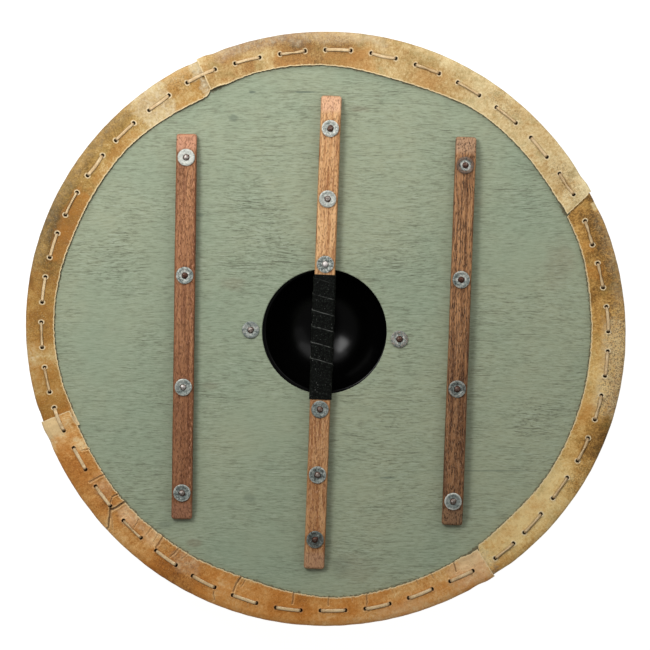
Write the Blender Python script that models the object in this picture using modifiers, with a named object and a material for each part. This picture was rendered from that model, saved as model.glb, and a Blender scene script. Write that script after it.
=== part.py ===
"""A round wooden shield, lying level with its grip side up on the flat foot of its boss.

Metres, +Z up. X and Y run through the middle of the disc, the long grip batten lies roughly
along Y, and the floor is Z = 0. Angles round the disc are in degrees, anticlockwise from +X.
"""

import math

import bmesh
import bpy
from mathutils import Matrix, Vector

GAP = 0.0003  # left between pieces that touch
BARREL_STEP = 7.5  # degrees between the corners of the disc and of the hide round it

# Disc
SHIELD_RADIUS = 0.3048  # over the hide, 24 inches across
SAWN_CREST = -20.0  # the disc was sawn by hand, so it is widest along this line
SAWN_WAVES = ((2, 0.0018), (4, 0.0006))  # waves round the edge, and their heights
BOARD_THICKNESS = 0.009
HAND_HOLE_RADIUS = 0.0637
HAND_HOLE_CENTRE = Vector((-0.0014, -0.0029))
HAND_HOLE_STEPS = 32

# Boss, a spun steel dome with a flange
BOSS_CENTRE = Vector((0.0001, -0.0020))
BOSS_DEPTH = 0.050  # floor to the underside of the flange
BOSS_WALL = 0.002
DOME_RADIUS = 0.063  # outside, where it meets the flange
DOME_RINGS = 5
FLANGE_RADIUS = 0.089
FOOT_RADIUS = 0.010  # flat spot that the shield lies on
LIP = 0.002  # rounding of the mouth, grip side
BOSS_STEPS = 28

# Levels above the floor
BOARD_FRONT = BOSS_DEPTH + BOSS_WALL + GAP
BOARD_BACK = BOARD_FRONT + BOARD_THICKNESS
BATTEN_FOOT = BOARD_BACK + GAP

# Battens: ends of the centre line, and how far along Y each rivet is
BATTEN_WIDTH = 0.021
BATTEN_THICKNESS = 0.011
BATTEN_ROUNDING = 0.0025
BATTEN_RAMP = 0.017  # length of the slope at each end
BATTEN_TIP = 0.005  # thickness left at the tip
BATTENS = {
    "left": {
        "bottom": Vector((-0.1467, -0.1941)),
        "top": Vector((-0.1416, 0.1986)),
        "rivets": (0.1742, 0.0542, -0.0595, -0.1669),
    },
    "grip": {
        "bottom": Vector((-0.0120, -0.2447)),
        "top": Vector((0.0058, 0.2374)),
        "rivets": (0.2035, 0.1319, 0.0655, -0.0819, -0.1486, -0.2143),
    },
    "right": {
        "bottom": Vector((0.1285, -0.2002)),
        "top": Vector((0.1430, 0.1955)),
        "rivets": (0.1662, 0.0499, -0.0613, -0.1755),
    },
}
BOSS_SIDE_RIVETS = (Vector((-0.0768, -0.0012)), Vector((0.0751, -0.0107)))

# Leather wound round the grip
WRAP_THICKNESS = 0.0008
WRAP_FROM = -0.0720
WRAP_TO = 0.0550
WRAP_UNDER = -0.0640  # below this it lies on the board, so it has no turn underneath

# Rivets and washers
SHANK_RADIUS = 0.0020
RIVET_HEAD_RADIUS = 0.0042
RIVET_HEAD_DEPTH = 0.0018
PEENED_RADIUS = 0.0032
PEENED_HEIGHT = 0.0016
RIVET_STEPS = 8
RIVET_HOLE_RADIUS = 0.0034  # corners of a square hole, clear of the shank
WASHER_RADIUS = 0.00875
WASHER_BORE = 0.0024
WASHER_THICKNESS = 0.0012
WASHER_STEPS = 8

# Rawhide strips folded over the edge. "cut" is the radius of the cut edge at even steps
HIDE = 0.0016
FRONT_REACH = 0.031
OVERLAP = 1.6  # degrees that an end runs under its neighbour
OVERLAP_CLEARANCE = 0.3
RAMP = 1.2  # degrees in which a strip on top climbs over that end
RIDE = HIDE + GAP
STRIPS = {
    "top_rim": {
        "start": 25.2,
        "end": 115.7,
        "on_top": True,
        "cut": (0.2706, 0.2702, 0.2706, 0.2702, 0.2655, 0.2640, 0.2674, 0.2696, 0.2705, 0.2682),
    },
    "left_rim": {
        "start": 115.7 - OVERLAP,
        "end": 198.0 + OVERLAP,
        "on_top": False,
        "cut": (0.2650, 0.2684, 0.2729, 0.2738, 0.2742, 0.2766, 0.2771, 0.2747, 0.2708),
    },
    "bottom_rim": {
        "start": 198.0,
        "end": 304.6,
        "on_top": True,
        "cut": (0.2703, 0.2706, 0.2708, 0.2694, 0.2688, 0.2670, 0.2704, 0.2743, 0.2727, 0.2717, 0.2708),
    },
    "right_rim": {
        "start": 304.6 - OVERLAP,
        "end": 385.2 + OVERLAP,
        "on_top": False,
        "cut": (0.2705, 0.2688, 0.2708, 0.2710, 0.2710, 0.2710, 0.2709, 0.2724, 0.2706),
    },
}

# Lace: runs of stitches on the grip side, as (first angle, spacing, count, length)
STITCH_RUNS = (
    (28.5, 9.41, 9, 5.0),
    (113.2, 0.0, 1, 6.1),
    (124.0, 9.13, 8, 4.9),
    (196.3, 9.09, 12, 4.9),
    (306.5, 0.0, 1, 4.6),
    (314.3, 9.04, 8, 4.9),
)
STITCH_INSET = 0.0177  # from the outline
# The hand-punched line wanders: mm nearer the edge, at every 9 degrees from 0 to 360
STITCH_WANDER = (
    (-0.5, -2.0, -2.0, 1.0, -0.5, 0.0, -1.0, -1.0, -1.5, -1.0)
    + (-1.5, -2.0, -0.5, 1.5, -1.0, -1.0, -0.5, 0.0, 1.0, 1.5)
    + (1.5, 1.5, 1.0, -2.5, -1.5, -1.5, -1.0, 0.5, 2.0, 3.0)
    + (1.5, 2.5, 1.0, 0.5, 3.5, 2.0, 0.0, 0.5, 0.0, -0.5, -0.5)
)
LACE_WIDTH = 0.0030
LACE_THICKNESS = 0.0014
LACE_HOLE_RADIUS = 0.0032  # three-cornered, as an awl leaves it, with a corner away from the stitch
LACE_HOLE_SHIFT = 0.0005  # towards that corner
LACE_EDGE = 0.25  # degrees past a strip's end before the lace comes down
LACE_TAIL = 1.7  # degrees of each loose end on the front


def new_collection(name):
    collection = bpy.data.collections.new(name)
    bpy.context.scene.collection.children.link(collection)
    return collection


def srgb(*channels):
    """Linear values of a colour given as eye sees it, from 0 to 255."""
    return [((c / 255 + 0.055) / 1.055) ** 2.4 for c in channels] + [1.0]


def new_material(name, colour, roughness, metallic=0.0):
    material = bpy.data.materials.new(name)
    material.use_nodes = True
    shader = material.node_tree.nodes["Principled BSDF"]
    shader.inputs["Base Color"].default_value = colour
    shader.inputs["Roughness"].default_value = roughness
    shader.inputs["Metallic"].default_value = metallic
    material.diffuse_color = colour
    return material


def add_part(name, mesh, material, location=(0, 0, 0), turn=0.0):
    part = bpy.data.objects.new(name, mesh)
    part.location = location
    part.rotation_euler.z = turn
    part.parent = disc
    if not mesh.materials:
        mesh.materials.append(material)
    parts.objects.link(part)
    return part


def add_cutter(name, bm):
    mesh = bpy.data.meshes.new(name)
    bm.to_mesh(mesh)
    bm.free()
    cutter = bpy.data.objects.new(name, mesh)
    cutter.hide_render = True
    cutter.display_type = "WIRE"
    cutters.objects.link(cutter)
    return cutter


def cut(part, cutter):
    boolean = part.modifiers.new(cutter.name, "BOOLEAN")
    boolean.operation = "DIFFERENCE"
    boolean.object = cutter


def keep_shape(part):
    """The shape that the modifiers make, shaded smooth except at its sharp edges."""
    evaluated = part.evaluated_get(bpy.context.evaluated_depsgraph_get())
    part.data = bpy.data.meshes.new_from_object(evaluated)
    part.modifiers.clear()
    part.data.shade_smooth()
    part.data.set_sharp_from_angle(angle=math.radians(35))


def turned_part(name, profile, steps, material, location, closed=False):
    """A profile of (radius, height) points turned about a vertical axis."""
    mesh = bpy.data.meshes.new(name)
    edges = [(i, i + 1) for i in range(len(profile) - 1)]
    if closed:
        edges.append((len(profile) - 1, 0))
    mesh.from_pydata([(radius, 0.0, height) for radius, height in profile], edges, [])
    part = add_part(name, mesh, material, location)
    screw = part.modifiers.new("turned", "SCREW")
    screw.steps = steps
    screw.render_steps = steps
    screw.use_merge_vertices = True
    screw.merge_threshold = 0.00005
    return part


def prism(bm, sides, radius, centre, low, high, turn=0.0):
    place = Matrix.Translation((centre.x, centre.y, (low + high) / 2)) @ Matrix.Rotation(turn, 4, "Z")
    bmesh.ops.create_cone(
        bm,
        cap_ends=True,
        segments=sides,
        radius1=radius,
        radius2=radius,
        depth=high - low,
        matrix=place,
    )


def polar(radius, angle):
    return Vector((math.cos(math.radians(angle)), math.sin(math.radians(angle)))) * radius


def outline(angle):
    """Radius over the hide."""
    around = math.radians(angle - SAWN_CREST)
    return SHIELD_RADIUS + sum(height * math.cos(count * around) for count, height in SAWN_WAVES)


def board_edge(angle):
    return outline(angle) - HIDE - GAP


def smooth_value(values, along):
    """Catmull-Rom curve through evenly spaced values, for along from 0 to 1."""
    place = along * (len(values) - 1)
    i = min(int(place), len(values) - 2)
    t = place - i
    before = values[max(i - 1, 0)]
    a = values[i]
    b = values[i + 1]
    after = values[min(i + 2, len(values) - 1)]
    return a + 0.5 * t * (b - before + t * (2 * before - 5 * a + 4 * b - after + t * (3 * (a - b) + after - before)))


def between(value, low, high):
    return min(max(value, low), high)


def strip_lift(strip, angle):
    """How far a strip on top stands off at its ends, where it rides over its neighbours."""
    if not strip["on_top"]:
        return 0.0
    inside = min(angle - strip["start"], strip["end"] - angle)
    return RIDE * between((OVERLAP + OVERLAP_CLEARANCE + RAMP - inside) / RAMP, 0.0, 1.0)


def strip_angles(strip):
    """Corners along a strip: its ends, the disc's own corners, and the climb at each end."""
    start = strip["start"]
    end = strip["end"]
    first = math.ceil(start / BARREL_STEP)
    last = math.floor(end / BARREL_STEP)
    angles = {start, end} | {k * BARREL_STEP for k in range(first, last + 1)}
    if strip["on_top"]:
        for climb in (OVERLAP + OVERLAP_CLEARANCE, OVERLAP + OVERLAP_CLEARANCE + RAMP):
            angles |= {start + climb, end - climb}
    return sorted(angles)


def stitches():
    """(start, end) of each stitch on the grip side, in order round the disc."""
    found = []
    for first, spacing, count, length in STITCH_RUNS:
        for k in range(count):
            found.append((first + k * spacing, first + k * spacing + length))
    return found


def stitch_radius(angle):
    nearer = smooth_value(STITCH_WANDER, angle % 360 / 360) / 1000
    return outline(angle) - STITCH_INSET + nearer


def ride_corners():
    """(angle, lift) corners of the line that the lace follows over each joint of the hide."""
    corners = []
    for strip in STRIPS.values():
        if not strip["on_top"]:
            continue
        for end, inward in ((strip["start"], 1), (strip["end"], -1)):
            corners += [
                (end - inward * (LACE_EDGE + RAMP), 0.0),
                (end - inward * LACE_EDGE, RIDE),
                (end + inward * (OVERLAP + OVERLAP_CLEARANCE), RIDE),
                (end + inward * (OVERLAP + OVERLAP_CLEARANCE + RAMP), 0.0),
            ]
    return sorted(corners)


def ride(angle):
    """Lift of the lace at an angle, along straight lines between the corners."""
    corners = ride_corners()
    for (a, low), (b, high) in zip(corners, corners[1:]):
        if a <= angle <= b:
            return low + (high - low) * (angle - a) / (b - a)
    return 0.0


def lace_route():
    """(angle, height) points of the lace's middle line, back and front in turn."""
    clear = GAP + HIDE + GAP + LACE_THICKNESS / 2
    corner_angles = [angle for angle, _ in ride_corners()]

    def run(start, end, level, sign):
        inner = [angle for angle in corner_angles if start < angle < end]
        return [(angle, level + sign * (clear + ride(angle))) for angle in [start, *inner, end]]

    every = stitches()
    route = []
    for (start, end), after in zip(every, [*every[1:], None]):
        route += run(start, end, BOARD_BACK, 1)
        front_end = after[0] if after else end + LACE_TAIL
        route += run(end, front_end, BOARD_FRONT, -1)
    return run(every[0][0] - LACE_TAIL, every[0][0], BOARD_FRONT, -1) + route


def batten_point(batten, y):
    """The point of a batten's centre line at a given Y."""
    bottom = batten["bottom"]
    top = batten["top"]
    return bottom.lerp(top, (y - bottom.y) / (top.y - bottom.y))


def batten_turn(batten):
    along = batten["top"] - batten["bottom"]
    return math.atan2(along.y, along.x) - math.pi / 2


def rivet_places():
    """(family, number, centre, underside of the clamped stack, its top) of each rivet."""
    places = []
    batten_top = BATTEN_FOOT + BATTEN_THICKNESS
    for family, batten in BATTENS.items():
        for number, y in enumerate(batten["rivets"], 1):
            centre = batten_point(batten, y)
            through_boss = (centre - BOSS_CENTRE).length < FLANGE_RADIUS
            underside = BOSS_DEPTH if through_boss else BOARD_FRONT
            places.append((family, number, centre, underside, batten_top))
    for number, centre in enumerate(BOSS_SIDE_RIVETS, 1):
        places.append(("boss", number, centre, BOSS_DEPTH, BOARD_BACK))
    return places


def make_cutters():
    rivet_holes = bmesh.new()
    for _, _, centre, _, _ in rivet_places():
        prism(rivet_holes, 4, RIVET_HOLE_RADIUS, centre, BOSS_DEPTH - 0.01, BATTEN_FOOT + 0.03)

    lace_holes = bmesh.new()
    for stitch in stitches():
        for angle, away in zip(stitch, (-1, 1)):
            onward = polar(1.0, angle + away * 90)
            centre = polar(stitch_radius(angle), angle) + onward * LACE_HOLE_SHIFT
            turn = math.atan2(-onward.x, onward.y)
            prism(lace_holes, 3, LACE_HOLE_RADIUS, centre, BOARD_FRONT - 0.01, BOARD_BACK + 0.01, turn)

    hand_hole = bmesh.new()
    prism(hand_hole, HAND_HOLE_STEPS, HAND_HOLE_RADIUS, HAND_HOLE_CENTRE, BOARD_FRONT - 0.01, BOARD_BACK + 0.01)
    return (
        add_cutter("rivet_holes", rivet_holes),
        add_cutter("lace_holes", lace_holes),
        add_cutter("hand_hole", hand_hole),
    )


def make_board(material):
    """A plywood disc, brought from a true cylinder to its hand-sawn outline."""
    bm = bmesh.new()
    prism(bm, round(360 / BARREL_STEP), 1.0, Vector((0, 0)), BOARD_FRONT, BOARD_BACK)
    for vertex in bm.verts:
        angle = math.degrees(math.atan2(vertex.co.y, vertex.co.x))
        vertex.co.xy = polar(board_edge(angle), angle)
    mesh = bpy.data.meshes.new("board")
    bm.to_mesh(mesh)
    bm.free()
    return add_part("board", mesh, material)


def make_boss(material):
    """A dome with its wall's true thickness: up the inside, round the flange, down the outside."""
    middle = (DOME_RADIUS**2 - FOOT_RADIUS**2 + BOSS_DEPTH**2) / (2 * BOSS_DEPTH)
    outer = math.hypot(middle, FOOT_RADIUS)
    inner = outer - BOSS_WALL
    flange_top = BOSS_DEPTH + BOSS_WALL
    mouth_angle = math.acos((middle - flange_top + LIP) / inner)
    mouth = inner * math.sin(mouth_angle)
    rim_angle = math.asin(DOME_RADIUS / outer)
    foot_angle = math.asin(FOOT_RADIUS / outer)

    def on_sphere(radius, angle):
        return radius * math.sin(angle), middle - radius * math.cos(angle)

    profile = [(0.0, middle - inner)]
    profile += [on_sphere(inner, mouth_angle * k / DOME_RINGS) for k in range(1, DOME_RINGS + 1)]
    profile += [(mouth + LIP * 0.35, flange_top - LIP * 0.25), (mouth + LIP, flange_top)]
    profile += [(FLANGE_RADIUS, flange_top), (FLANGE_RADIUS, BOSS_DEPTH)]
    for k in range(DOME_RINGS):
        profile.append(on_sphere(outer, rim_angle + (foot_angle - rim_angle) * k / (DOME_RINGS - 1)))
    profile.append((0.0, 0.0))
    return turned_part("boss", profile, BOSS_STEPS, material, BOSS_CENTRE.to_3d())


def make_batten(name, batten, material):
    """A bar with its upper long edges rounded and both ends sloped down."""
    length = (batten["top"] - batten["bottom"]).length
    bm = bmesh.new()
    size = Matrix.Diagonal((BATTEN_WIDTH, length, BATTEN_THICKNESS, 1.0))
    lift = Matrix.Translation((0, 0, BATTEN_THICKNESS / 2))
    bmesh.ops.create_cube(bm, size=1.0, matrix=lift @ size)
    upper = []
    for edge in bm.edges:
        a, b = edge.verts
        if min(a.co.z, b.co.z) > 0 and a.co.x * b.co.x > 0:
            upper.append(edge)
    bmesh.ops.bevel(
        bm, geom=upper, offset=BATTEN_ROUNDING, segments=2, profile=0.5, affect="EDGES", material=-1
    )
    for side in (-1, 1):
        slope_start = (0, side * (length / 2 - BATTEN_RAMP), 0)
        everything = bm.verts[:] + bm.edges[:] + bm.faces[:]
        bmesh.ops.bisect_plane(bm, geom=everything, plane_co=slope_start, plane_no=(0, 1, 0))
    for vertex in bm.verts:
        if abs(vertex.co.y) > length / 2 - BATTEN_RAMP / 2:
            vertex.co.z *= BATTEN_TIP / BATTEN_THICKNESS
    mesh = bpy.data.meshes.new(name)
    bm.to_mesh(mesh)
    bm.free()
    centre = (batten["top"] + batten["bottom"]) / 2
    return add_part(name, mesh, material, (centre.x, centre.y, BATTEN_FOOT), batten_turn(batten))


def make_wrap(material):
    """A leather sleeve over the rounded bar, open underneath where it lies on the board."""
    grip = BATTENS["grip"]
    low = batten_point(grip, WRAP_FROM)
    high = batten_point(grip, WRAP_TO)
    half_length = (high - low).length / 2
    half_width = BATTEN_WIDTH / 2 + GAP
    corner = BATTEN_ROUNDING * 0.6
    section = [
        (half_width, -GAP),
        (half_width, BATTEN_THICKNESS + GAP - corner),
        (half_width - corner, BATTEN_THICKNESS + GAP),
    ]
    section += [(-x, z) for x, z in reversed(section)]
    bm = bmesh.new()
    ring = [bm.verts.new((x, -half_length, z)) for x, z in section]
    edges = [bm.edges.new((ring[i - 1], ring[i])) for i in range(len(ring))]
    grown = bmesh.ops.extrude_edge_only(bm, edges=edges)
    far = [item for item in grown["geom"] if isinstance(item, bmesh.types.BMVert)]
    bmesh.ops.translate(bm, verts=far, vec=(0, 2 * half_length, 0))
    bmesh.ops.recalc_face_normals(bm, faces=bm.faces[:])
    mesh = bpy.data.meshes.new("grip_wrap")
    bm.to_mesh(mesh)
    bm.free()
    centre = (low + high) / 2
    part = add_part("grip_wrap", mesh, material, (centre.x, centre.y, BATTEN_FOOT), batten_turn(grip))
    leather = part.modifiers.new("leather", "SOLIDIFY")
    leather.thickness = WRAP_THICKNESS
    leather.offset = 1.0
    leather.use_even_offset = True

    board_below = bmesh.new()
    reach = BATTEN_WIDTH
    size = Matrix.Diagonal((2 * reach, reach, 0.01, 1.0))
    place = Matrix.Translation((batten_point(grip, WRAP_FROM).x, WRAP_UNDER - reach / 2, BATTEN_FOOT - 0.005))
    bmesh.ops.create_cube(board_below, size=1.0, matrix=place @ size)
    cut(part, add_cutter("board_below_wrap", board_below))
    return part


def add_ribbon(name, rows, thickness, offset, material):
    """A strip through rows of points, given a thickness."""
    bm = bmesh.new()
    rings = [[bm.verts.new(point) for point in row] for row in rows]
    for ring, after in zip(rings, rings[1:]):
        for i in range(len(ring) - 1):
            bm.faces.new((ring[i], ring[i + 1], after[i + 1], after[i]))
    mesh = bpy.data.meshes.new(name)
    bm.to_mesh(mesh)
    bm.free()
    part = add_part(name, mesh, material)
    solid = part.modifiers.new("thickness", "SOLIDIFY")
    solid.thickness = thickness
    solid.offset = offset
    solid.use_even_offset = True
    return part


def make_strip(name, strip, material):
    """Hide folded over the edge, from its cut edge on the back round to the one on the front."""
    rows = []
    for angle in strip_angles(strip):
        along = (angle - strip["start"]) / (strip["end"] - strip["start"])
        lift = strip_lift(strip, angle)
        fold = board_edge(angle) + GAP + lift
        back = BOARD_BACK + GAP + lift
        front = BOARD_FRONT - GAP - lift
        section = (
            (smooth_value(strip["cut"], along), back),
            (fold, back),
            (fold, front),
            (outline(angle) - FRONT_REACH, front),
        )
        rows.append([(*polar(radius, angle), height) for radius, height in section])
    return add_ribbon(name, rows, HIDE, 1.0, material)


def make_lace(material):
    rows = []
    for angle, height in lace_route():
        radius = stitch_radius(angle)
        sides = (radius - LACE_WIDTH / 2, radius + LACE_WIDTH / 2)
        rows.append([(*polar(side, angle), height) for side in sides])
    return add_ribbon("lace", rows, LACE_THICKNESS, 0.0, material)


def make_rivet(family, number, centre, underside, top, steel, zinc):
    """A rivet with a low domed head in front, and its end hammered over a washer at the back."""
    washer_foot = top + GAP
    washer_top = washer_foot + WASHER_THICKNESS
    head = underside - GAP
    peened = washer_top + GAP
    profile = [
        (0.0, peened + PEENED_HEIGHT),
        (PEENED_RADIUS, peened),
        (SHANK_RADIUS, peened),
        (SHANK_RADIUS, head),
        (RIVET_HEAD_RADIUS, head),
        (0.0, head - RIVET_HEAD_DEPTH),
    ]
    place = (centre.x, centre.y, 0.0)
    rivet = turned_part(f"{family}_rivet_{number}", profile, RIVET_STEPS, steel, place)
    ring = [
        (WASHER_RADIUS, washer_top),
        (WASHER_RADIUS, washer_foot),
        (WASHER_BORE, washer_foot),
        (WASHER_BORE, washer_top),
    ]
    washer = turned_part(f"{family}_washer_{number}", ring, WASHER_STEPS, zinc, place, closed=True)
    return rivet, washer


for old in list(bpy.data.objects):
    bpy.data.objects.remove(old, do_unlink=True)
parts = new_collection("wooden_round_shield")
cutters = new_collection("cutters")
disc = bpy.data.objects.new("shield", None)
parts.objects.link(disc)

green_paint = new_material("green_paint", srgb(148, 159, 134), 0.6)
black_paint = new_material("black_paint", srgb(22, 22, 24), 0.3)
black_leather = new_material("black_leather", srgb(30, 31, 31), 0.6)
rawhide = {
    "top_rim": new_material("golden_rawhide", srgb(202, 168, 115), 0.6),
    "right_rim": new_material("mottled_rawhide", srgb(155, 130, 82), 0.6),
    "bottom_rim": new_material("orange_rawhide", srgb(168, 116, 64), 0.6),
    "left_rim": new_material("brown_rawhide", srgb(162, 130, 84), 0.6),
}
lace_hide = new_material("lace_hide", srgb(205, 178, 138), 0.7)
batten_wood = {
    "left": new_material("reddish_wood", srgb(143, 97, 64), 0.55),
    "grip": new_material("tan_wood", srgb(192, 145, 100), 0.5),
    "right": new_material("brown_wood", srgb(122, 88, 57), 0.6),
}
rivet_steel = new_material("rivet_steel", srgb(96, 90, 86), 0.4, metallic=1.0)
washer_zinc = new_material("washer_zinc", srgb(170, 172, 172), 0.45, metallic=1.0)

rivet_holes, lace_holes, hand_hole = make_cutters()
board = make_board(green_paint)
for cutter in (hand_hole, rivet_holes, lace_holes):
    cut(board, cutter)
cut(make_boss(black_paint), rivet_holes)
for side, bar in BATTENS.items():
    cut(make_batten(f"{side}_batten", bar, batten_wood[side]), rivet_holes)
make_wrap(black_leather)
for rim, strip in STRIPS.items():
    cut(make_strip(rim, strip, rawhide[rim]), lace_holes)
make_lace(lace_hide)
for place in rivet_places():
    make_rivet(*place, rivet_steel, washer_zinc)

bpy.context.view_layer.update()
for part in list(parts.objects):
    if part.type == "MESH":
        keep_shape(part)
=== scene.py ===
import math
import random

import bmesh
import bpy
from mathutils import Matrix, Vector, noise


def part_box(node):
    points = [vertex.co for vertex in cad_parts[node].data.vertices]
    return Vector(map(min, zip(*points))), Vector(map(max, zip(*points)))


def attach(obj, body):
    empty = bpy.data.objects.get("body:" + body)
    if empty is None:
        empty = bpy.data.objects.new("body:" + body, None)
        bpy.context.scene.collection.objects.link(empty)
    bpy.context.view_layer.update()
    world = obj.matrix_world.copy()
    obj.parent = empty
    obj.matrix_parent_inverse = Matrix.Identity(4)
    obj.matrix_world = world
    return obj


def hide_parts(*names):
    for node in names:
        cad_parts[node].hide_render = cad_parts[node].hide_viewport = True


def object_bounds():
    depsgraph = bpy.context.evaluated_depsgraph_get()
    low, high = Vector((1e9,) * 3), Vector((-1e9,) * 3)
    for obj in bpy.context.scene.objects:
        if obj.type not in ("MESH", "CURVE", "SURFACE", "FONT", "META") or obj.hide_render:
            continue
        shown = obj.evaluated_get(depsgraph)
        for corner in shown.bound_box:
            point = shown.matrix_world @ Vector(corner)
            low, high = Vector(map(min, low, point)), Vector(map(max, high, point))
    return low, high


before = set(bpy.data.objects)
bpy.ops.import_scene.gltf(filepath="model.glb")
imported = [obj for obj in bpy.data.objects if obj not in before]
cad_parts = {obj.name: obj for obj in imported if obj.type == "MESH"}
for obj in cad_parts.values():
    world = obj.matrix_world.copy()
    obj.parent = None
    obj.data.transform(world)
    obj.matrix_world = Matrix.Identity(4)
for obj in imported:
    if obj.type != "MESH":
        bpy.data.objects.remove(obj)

cadLow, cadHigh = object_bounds()
boardLow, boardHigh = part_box("board")
boardFront, boardBack = boardLow.z, boardHigh.z
boardMiddle = (boardFront + boardBack) / 2
gap = 0.0003  # left between pieces that touch

scene = bpy.context.scene
scene.view_settings.view_transform = "Standard"


# small helpers: shapes
def polar(radius, degrees, height=0.0):
    turn = math.radians(degrees)
    return Vector((math.cos(turn) * radius, math.sin(turn) * radius, height))


def ease(value, low, high):  # 0 below low, 1 above high, smooth between
    t = min(max((value - low) / (high - low), 0.0), 1.0)
    return t * t * (3 - 2 * t)


def hump(value, width):
    return math.exp(-((value / width) ** 2))


def ripple(x, y=0.0, z=0.0):  # smooth noise from -1 to 1
    return noise.noise(Vector((x, y, z)))


def curveThrough(values, along):  # smooth curve through evenly spaced values
    place = along * (len(values) - 1)
    i = min(max(int(place), 0), len(values) - 2)
    t = place - i
    before, a = values[max(i - 1, 0)], values[i]
    b, after = values[i + 1], values[min(i + 2, len(values) - 1)]
    square, cube = 2 * before - 5 * a + 4 * b - after, 3 * (a - b) + after - before
    return a + 0.5 * t * (b - before + t * (square + t * cube))


def addPiece(name, bm, material, replaced, sharp=40, smooth=True):
    mesh = bpy.data.meshes.new(name)
    bm.to_mesh(mesh)
    bm.free()
    mesh.materials.append(material)
    if smooth:
        mesh.shade_smooth()
        mesh.set_sharp_from_angle(angle=math.radians(sharp))
    piece = bpy.data.objects.new(name, mesh)
    scene.collection.objects.link(piece)
    if replaced:
        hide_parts(*replaced)
        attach(piece, "root")
    return piece


def bakeModifiers(piece, sharp=40):  # keeps the shape that the modifiers make
    evaluated = piece.evaluated_get(bpy.context.evaluated_depsgraph_get())
    shaped = bpy.data.meshes.new_from_object(evaluated)
    piece.modifiers.clear()
    piece.data = shaped
    shaped.shade_smooth()
    shaped.set_sharp_from_angle(angle=math.radians(sharp))


def turned(bm, profile, steps):  # spins (radius, height) points about the Z axis
    dots = [bm.verts.new((radius, 0.0, height)) for radius, height in profile]
    lines = [bm.edges.new(pair) for pair in zip(dots, dots[1:])]
    bmesh.ops.spin(
        bm, geom=dots + lines, cent=(0, 0, 0), axis=(0, 0, 1), dvec=(0, 0, 0),
        angle=math.tau, steps=steps, use_merge=True, use_duplicate=False,
    )
    bmesh.ops.remove_doubles(bm, verts=bm.verts[:], dist=1e-6)
    bmesh.ops.recalc_face_normals(bm, faces=bm.faces[:])


def roundEdges(bm, edges, offset, segments):
    bmesh.ops.bevel(
        bm, geom=edges, offset=offset, segments=segments, profile=0.5, affect="EDGES", material=-1,
    )


def cutAcross(bm, y, way=1, clear=False):  # a cut square to the Y axis; clear drops what lies beyond it
    everything = bm.verts[:] + bm.edges[:] + bm.faces[:]
    bmesh.ops.bisect_plane(
        bm, geom=everything, dist=1e-7, plane_co=(0, y, 0), plane_no=(0, way, 0), clear_outer=clear,
    )


def gridSteps(vert, columns, rows):  # column and row of a fresh grid's vertex
    return round((vert.co.x + 1) / 2 * columns), round((vert.co.y + 1) / 2 * rows)


# small helpers: materials
def seen(red, green, blue):  # a colour as the eye sees it, 0 to 255
    return tuple(((c / 255 + 0.055) / 1.055) ** 2.4 for c in (red, green, blue)) + (1.0,)


class Wire:  # a shader socket that takes part in plain arithmetic
    def __init__(self, tree, socket=None):
        self.tree = tree
        self.socket = socket

    def node(self, kind, out=0, stops=None, inputs=None, **settings):
        made = self.tree.nodes.new("ShaderNode" + kind)
        for key, value in settings.items():
            setattr(made, key, value)
        if stops:
            ramp = made.color_ramp.elements
            while len(ramp) < len(stops):
                ramp.new(0.5)
            for element, (where, shade) in zip(ramp, stops):
                element.position = where
                element.color = shade
        for key, value in (inputs or {}).items():
            if isinstance(value, Wire):
                self.tree.links.new(value.socket, made.inputs[key])
            else:
                made.inputs[key].default_value = value
        return Wire(self.tree, made.outputs[out])

    def maths(self, operation, *values):
        return self.node("Math", operation=operation, inputs=dict(enumerate(values)))

    def __add__(self, other):
        return self.maths("ADD", self, other)

    def __sub__(self, other):
        return self.maths("SUBTRACT", self, other)

    def __rsub__(self, other):
        return self.maths("SUBTRACT", other, self)

    def __mul__(self, other):
        return self.maths("MULTIPLY", self, other)

    __radd__ = __add__
    __rmul__ = __mul__

    def top(self, other):
        return self.maths("MAXIMUM", self, other)

    def low(self, other):
        return self.maths("MINIMUM", self, other)

    def band(self, low, high):  # 0 at low, 1 at high, smooth between
        limits = {0: self, 1: low, 2: high, 3: 0.0, 4: 1.0}
        return self.node("MapRange", interpolation_type="SMOOTHSTEP", inputs=limits)

    def stretched(self, x, y, z):
        return self.node("VectorMath", operation="MULTIPLY", inputs={0: self, 1: (x, y, z)})

    def length(self):
        return self.node("VectorMath", out="Value", operation="LENGTH", inputs={0: self})

    def moved(self, other):
        return self.node("VectorMath", operation="ADD", inputs={0: self, 1: other})

    def noise(self, scale, detail=2.0, roughness=0.5):
        inputs = {"Vector": self, "Scale": scale, "Detail": detail, "Roughness": roughness}
        return self.node("TexNoise", inputs=inputs)

    def cells(self, scale):
        return self.node("TexVoronoi", out="Distance", inputs={"Vector": self, "Scale": scale})

    def over(self, below, colour):  # this value lays a colour over another; plain numbers are as seen
        below, colour = (seen(*shade) if isinstance(shade, tuple) else shade for shade in (below, colour))
        return self.node("Mix", out=2, data_type="RGBA", inputs={0: self, 6: below, 7: colour})

    def shades(self, *stops):  # a colour for each value, from (value, colour as seen) pairs
        stops = [(where, seen(*shade)) for where, shade in stops]
        return self.node("ValToRGB", stops=stops, inputs={0: self})

    def layer(self, name):  # a number that the mesh carries at each point
        return self.node("Attribute", out="Fac", attribute_name=name)


def newMaterial(name, roughness, metallic=0.0, specular=0.5):
    material = bpy.data.materials.new(name)
    material.use_nodes = True
    shader = material.node_tree.nodes["Principled BSDF"]
    shader.inputs["Roughness"].default_value = roughness
    shader.inputs["Metallic"].default_value = metallic
    shader.inputs["Specular IOR Level"].default_value = specular
    return material, shader, Wire(material.node_tree)


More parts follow.
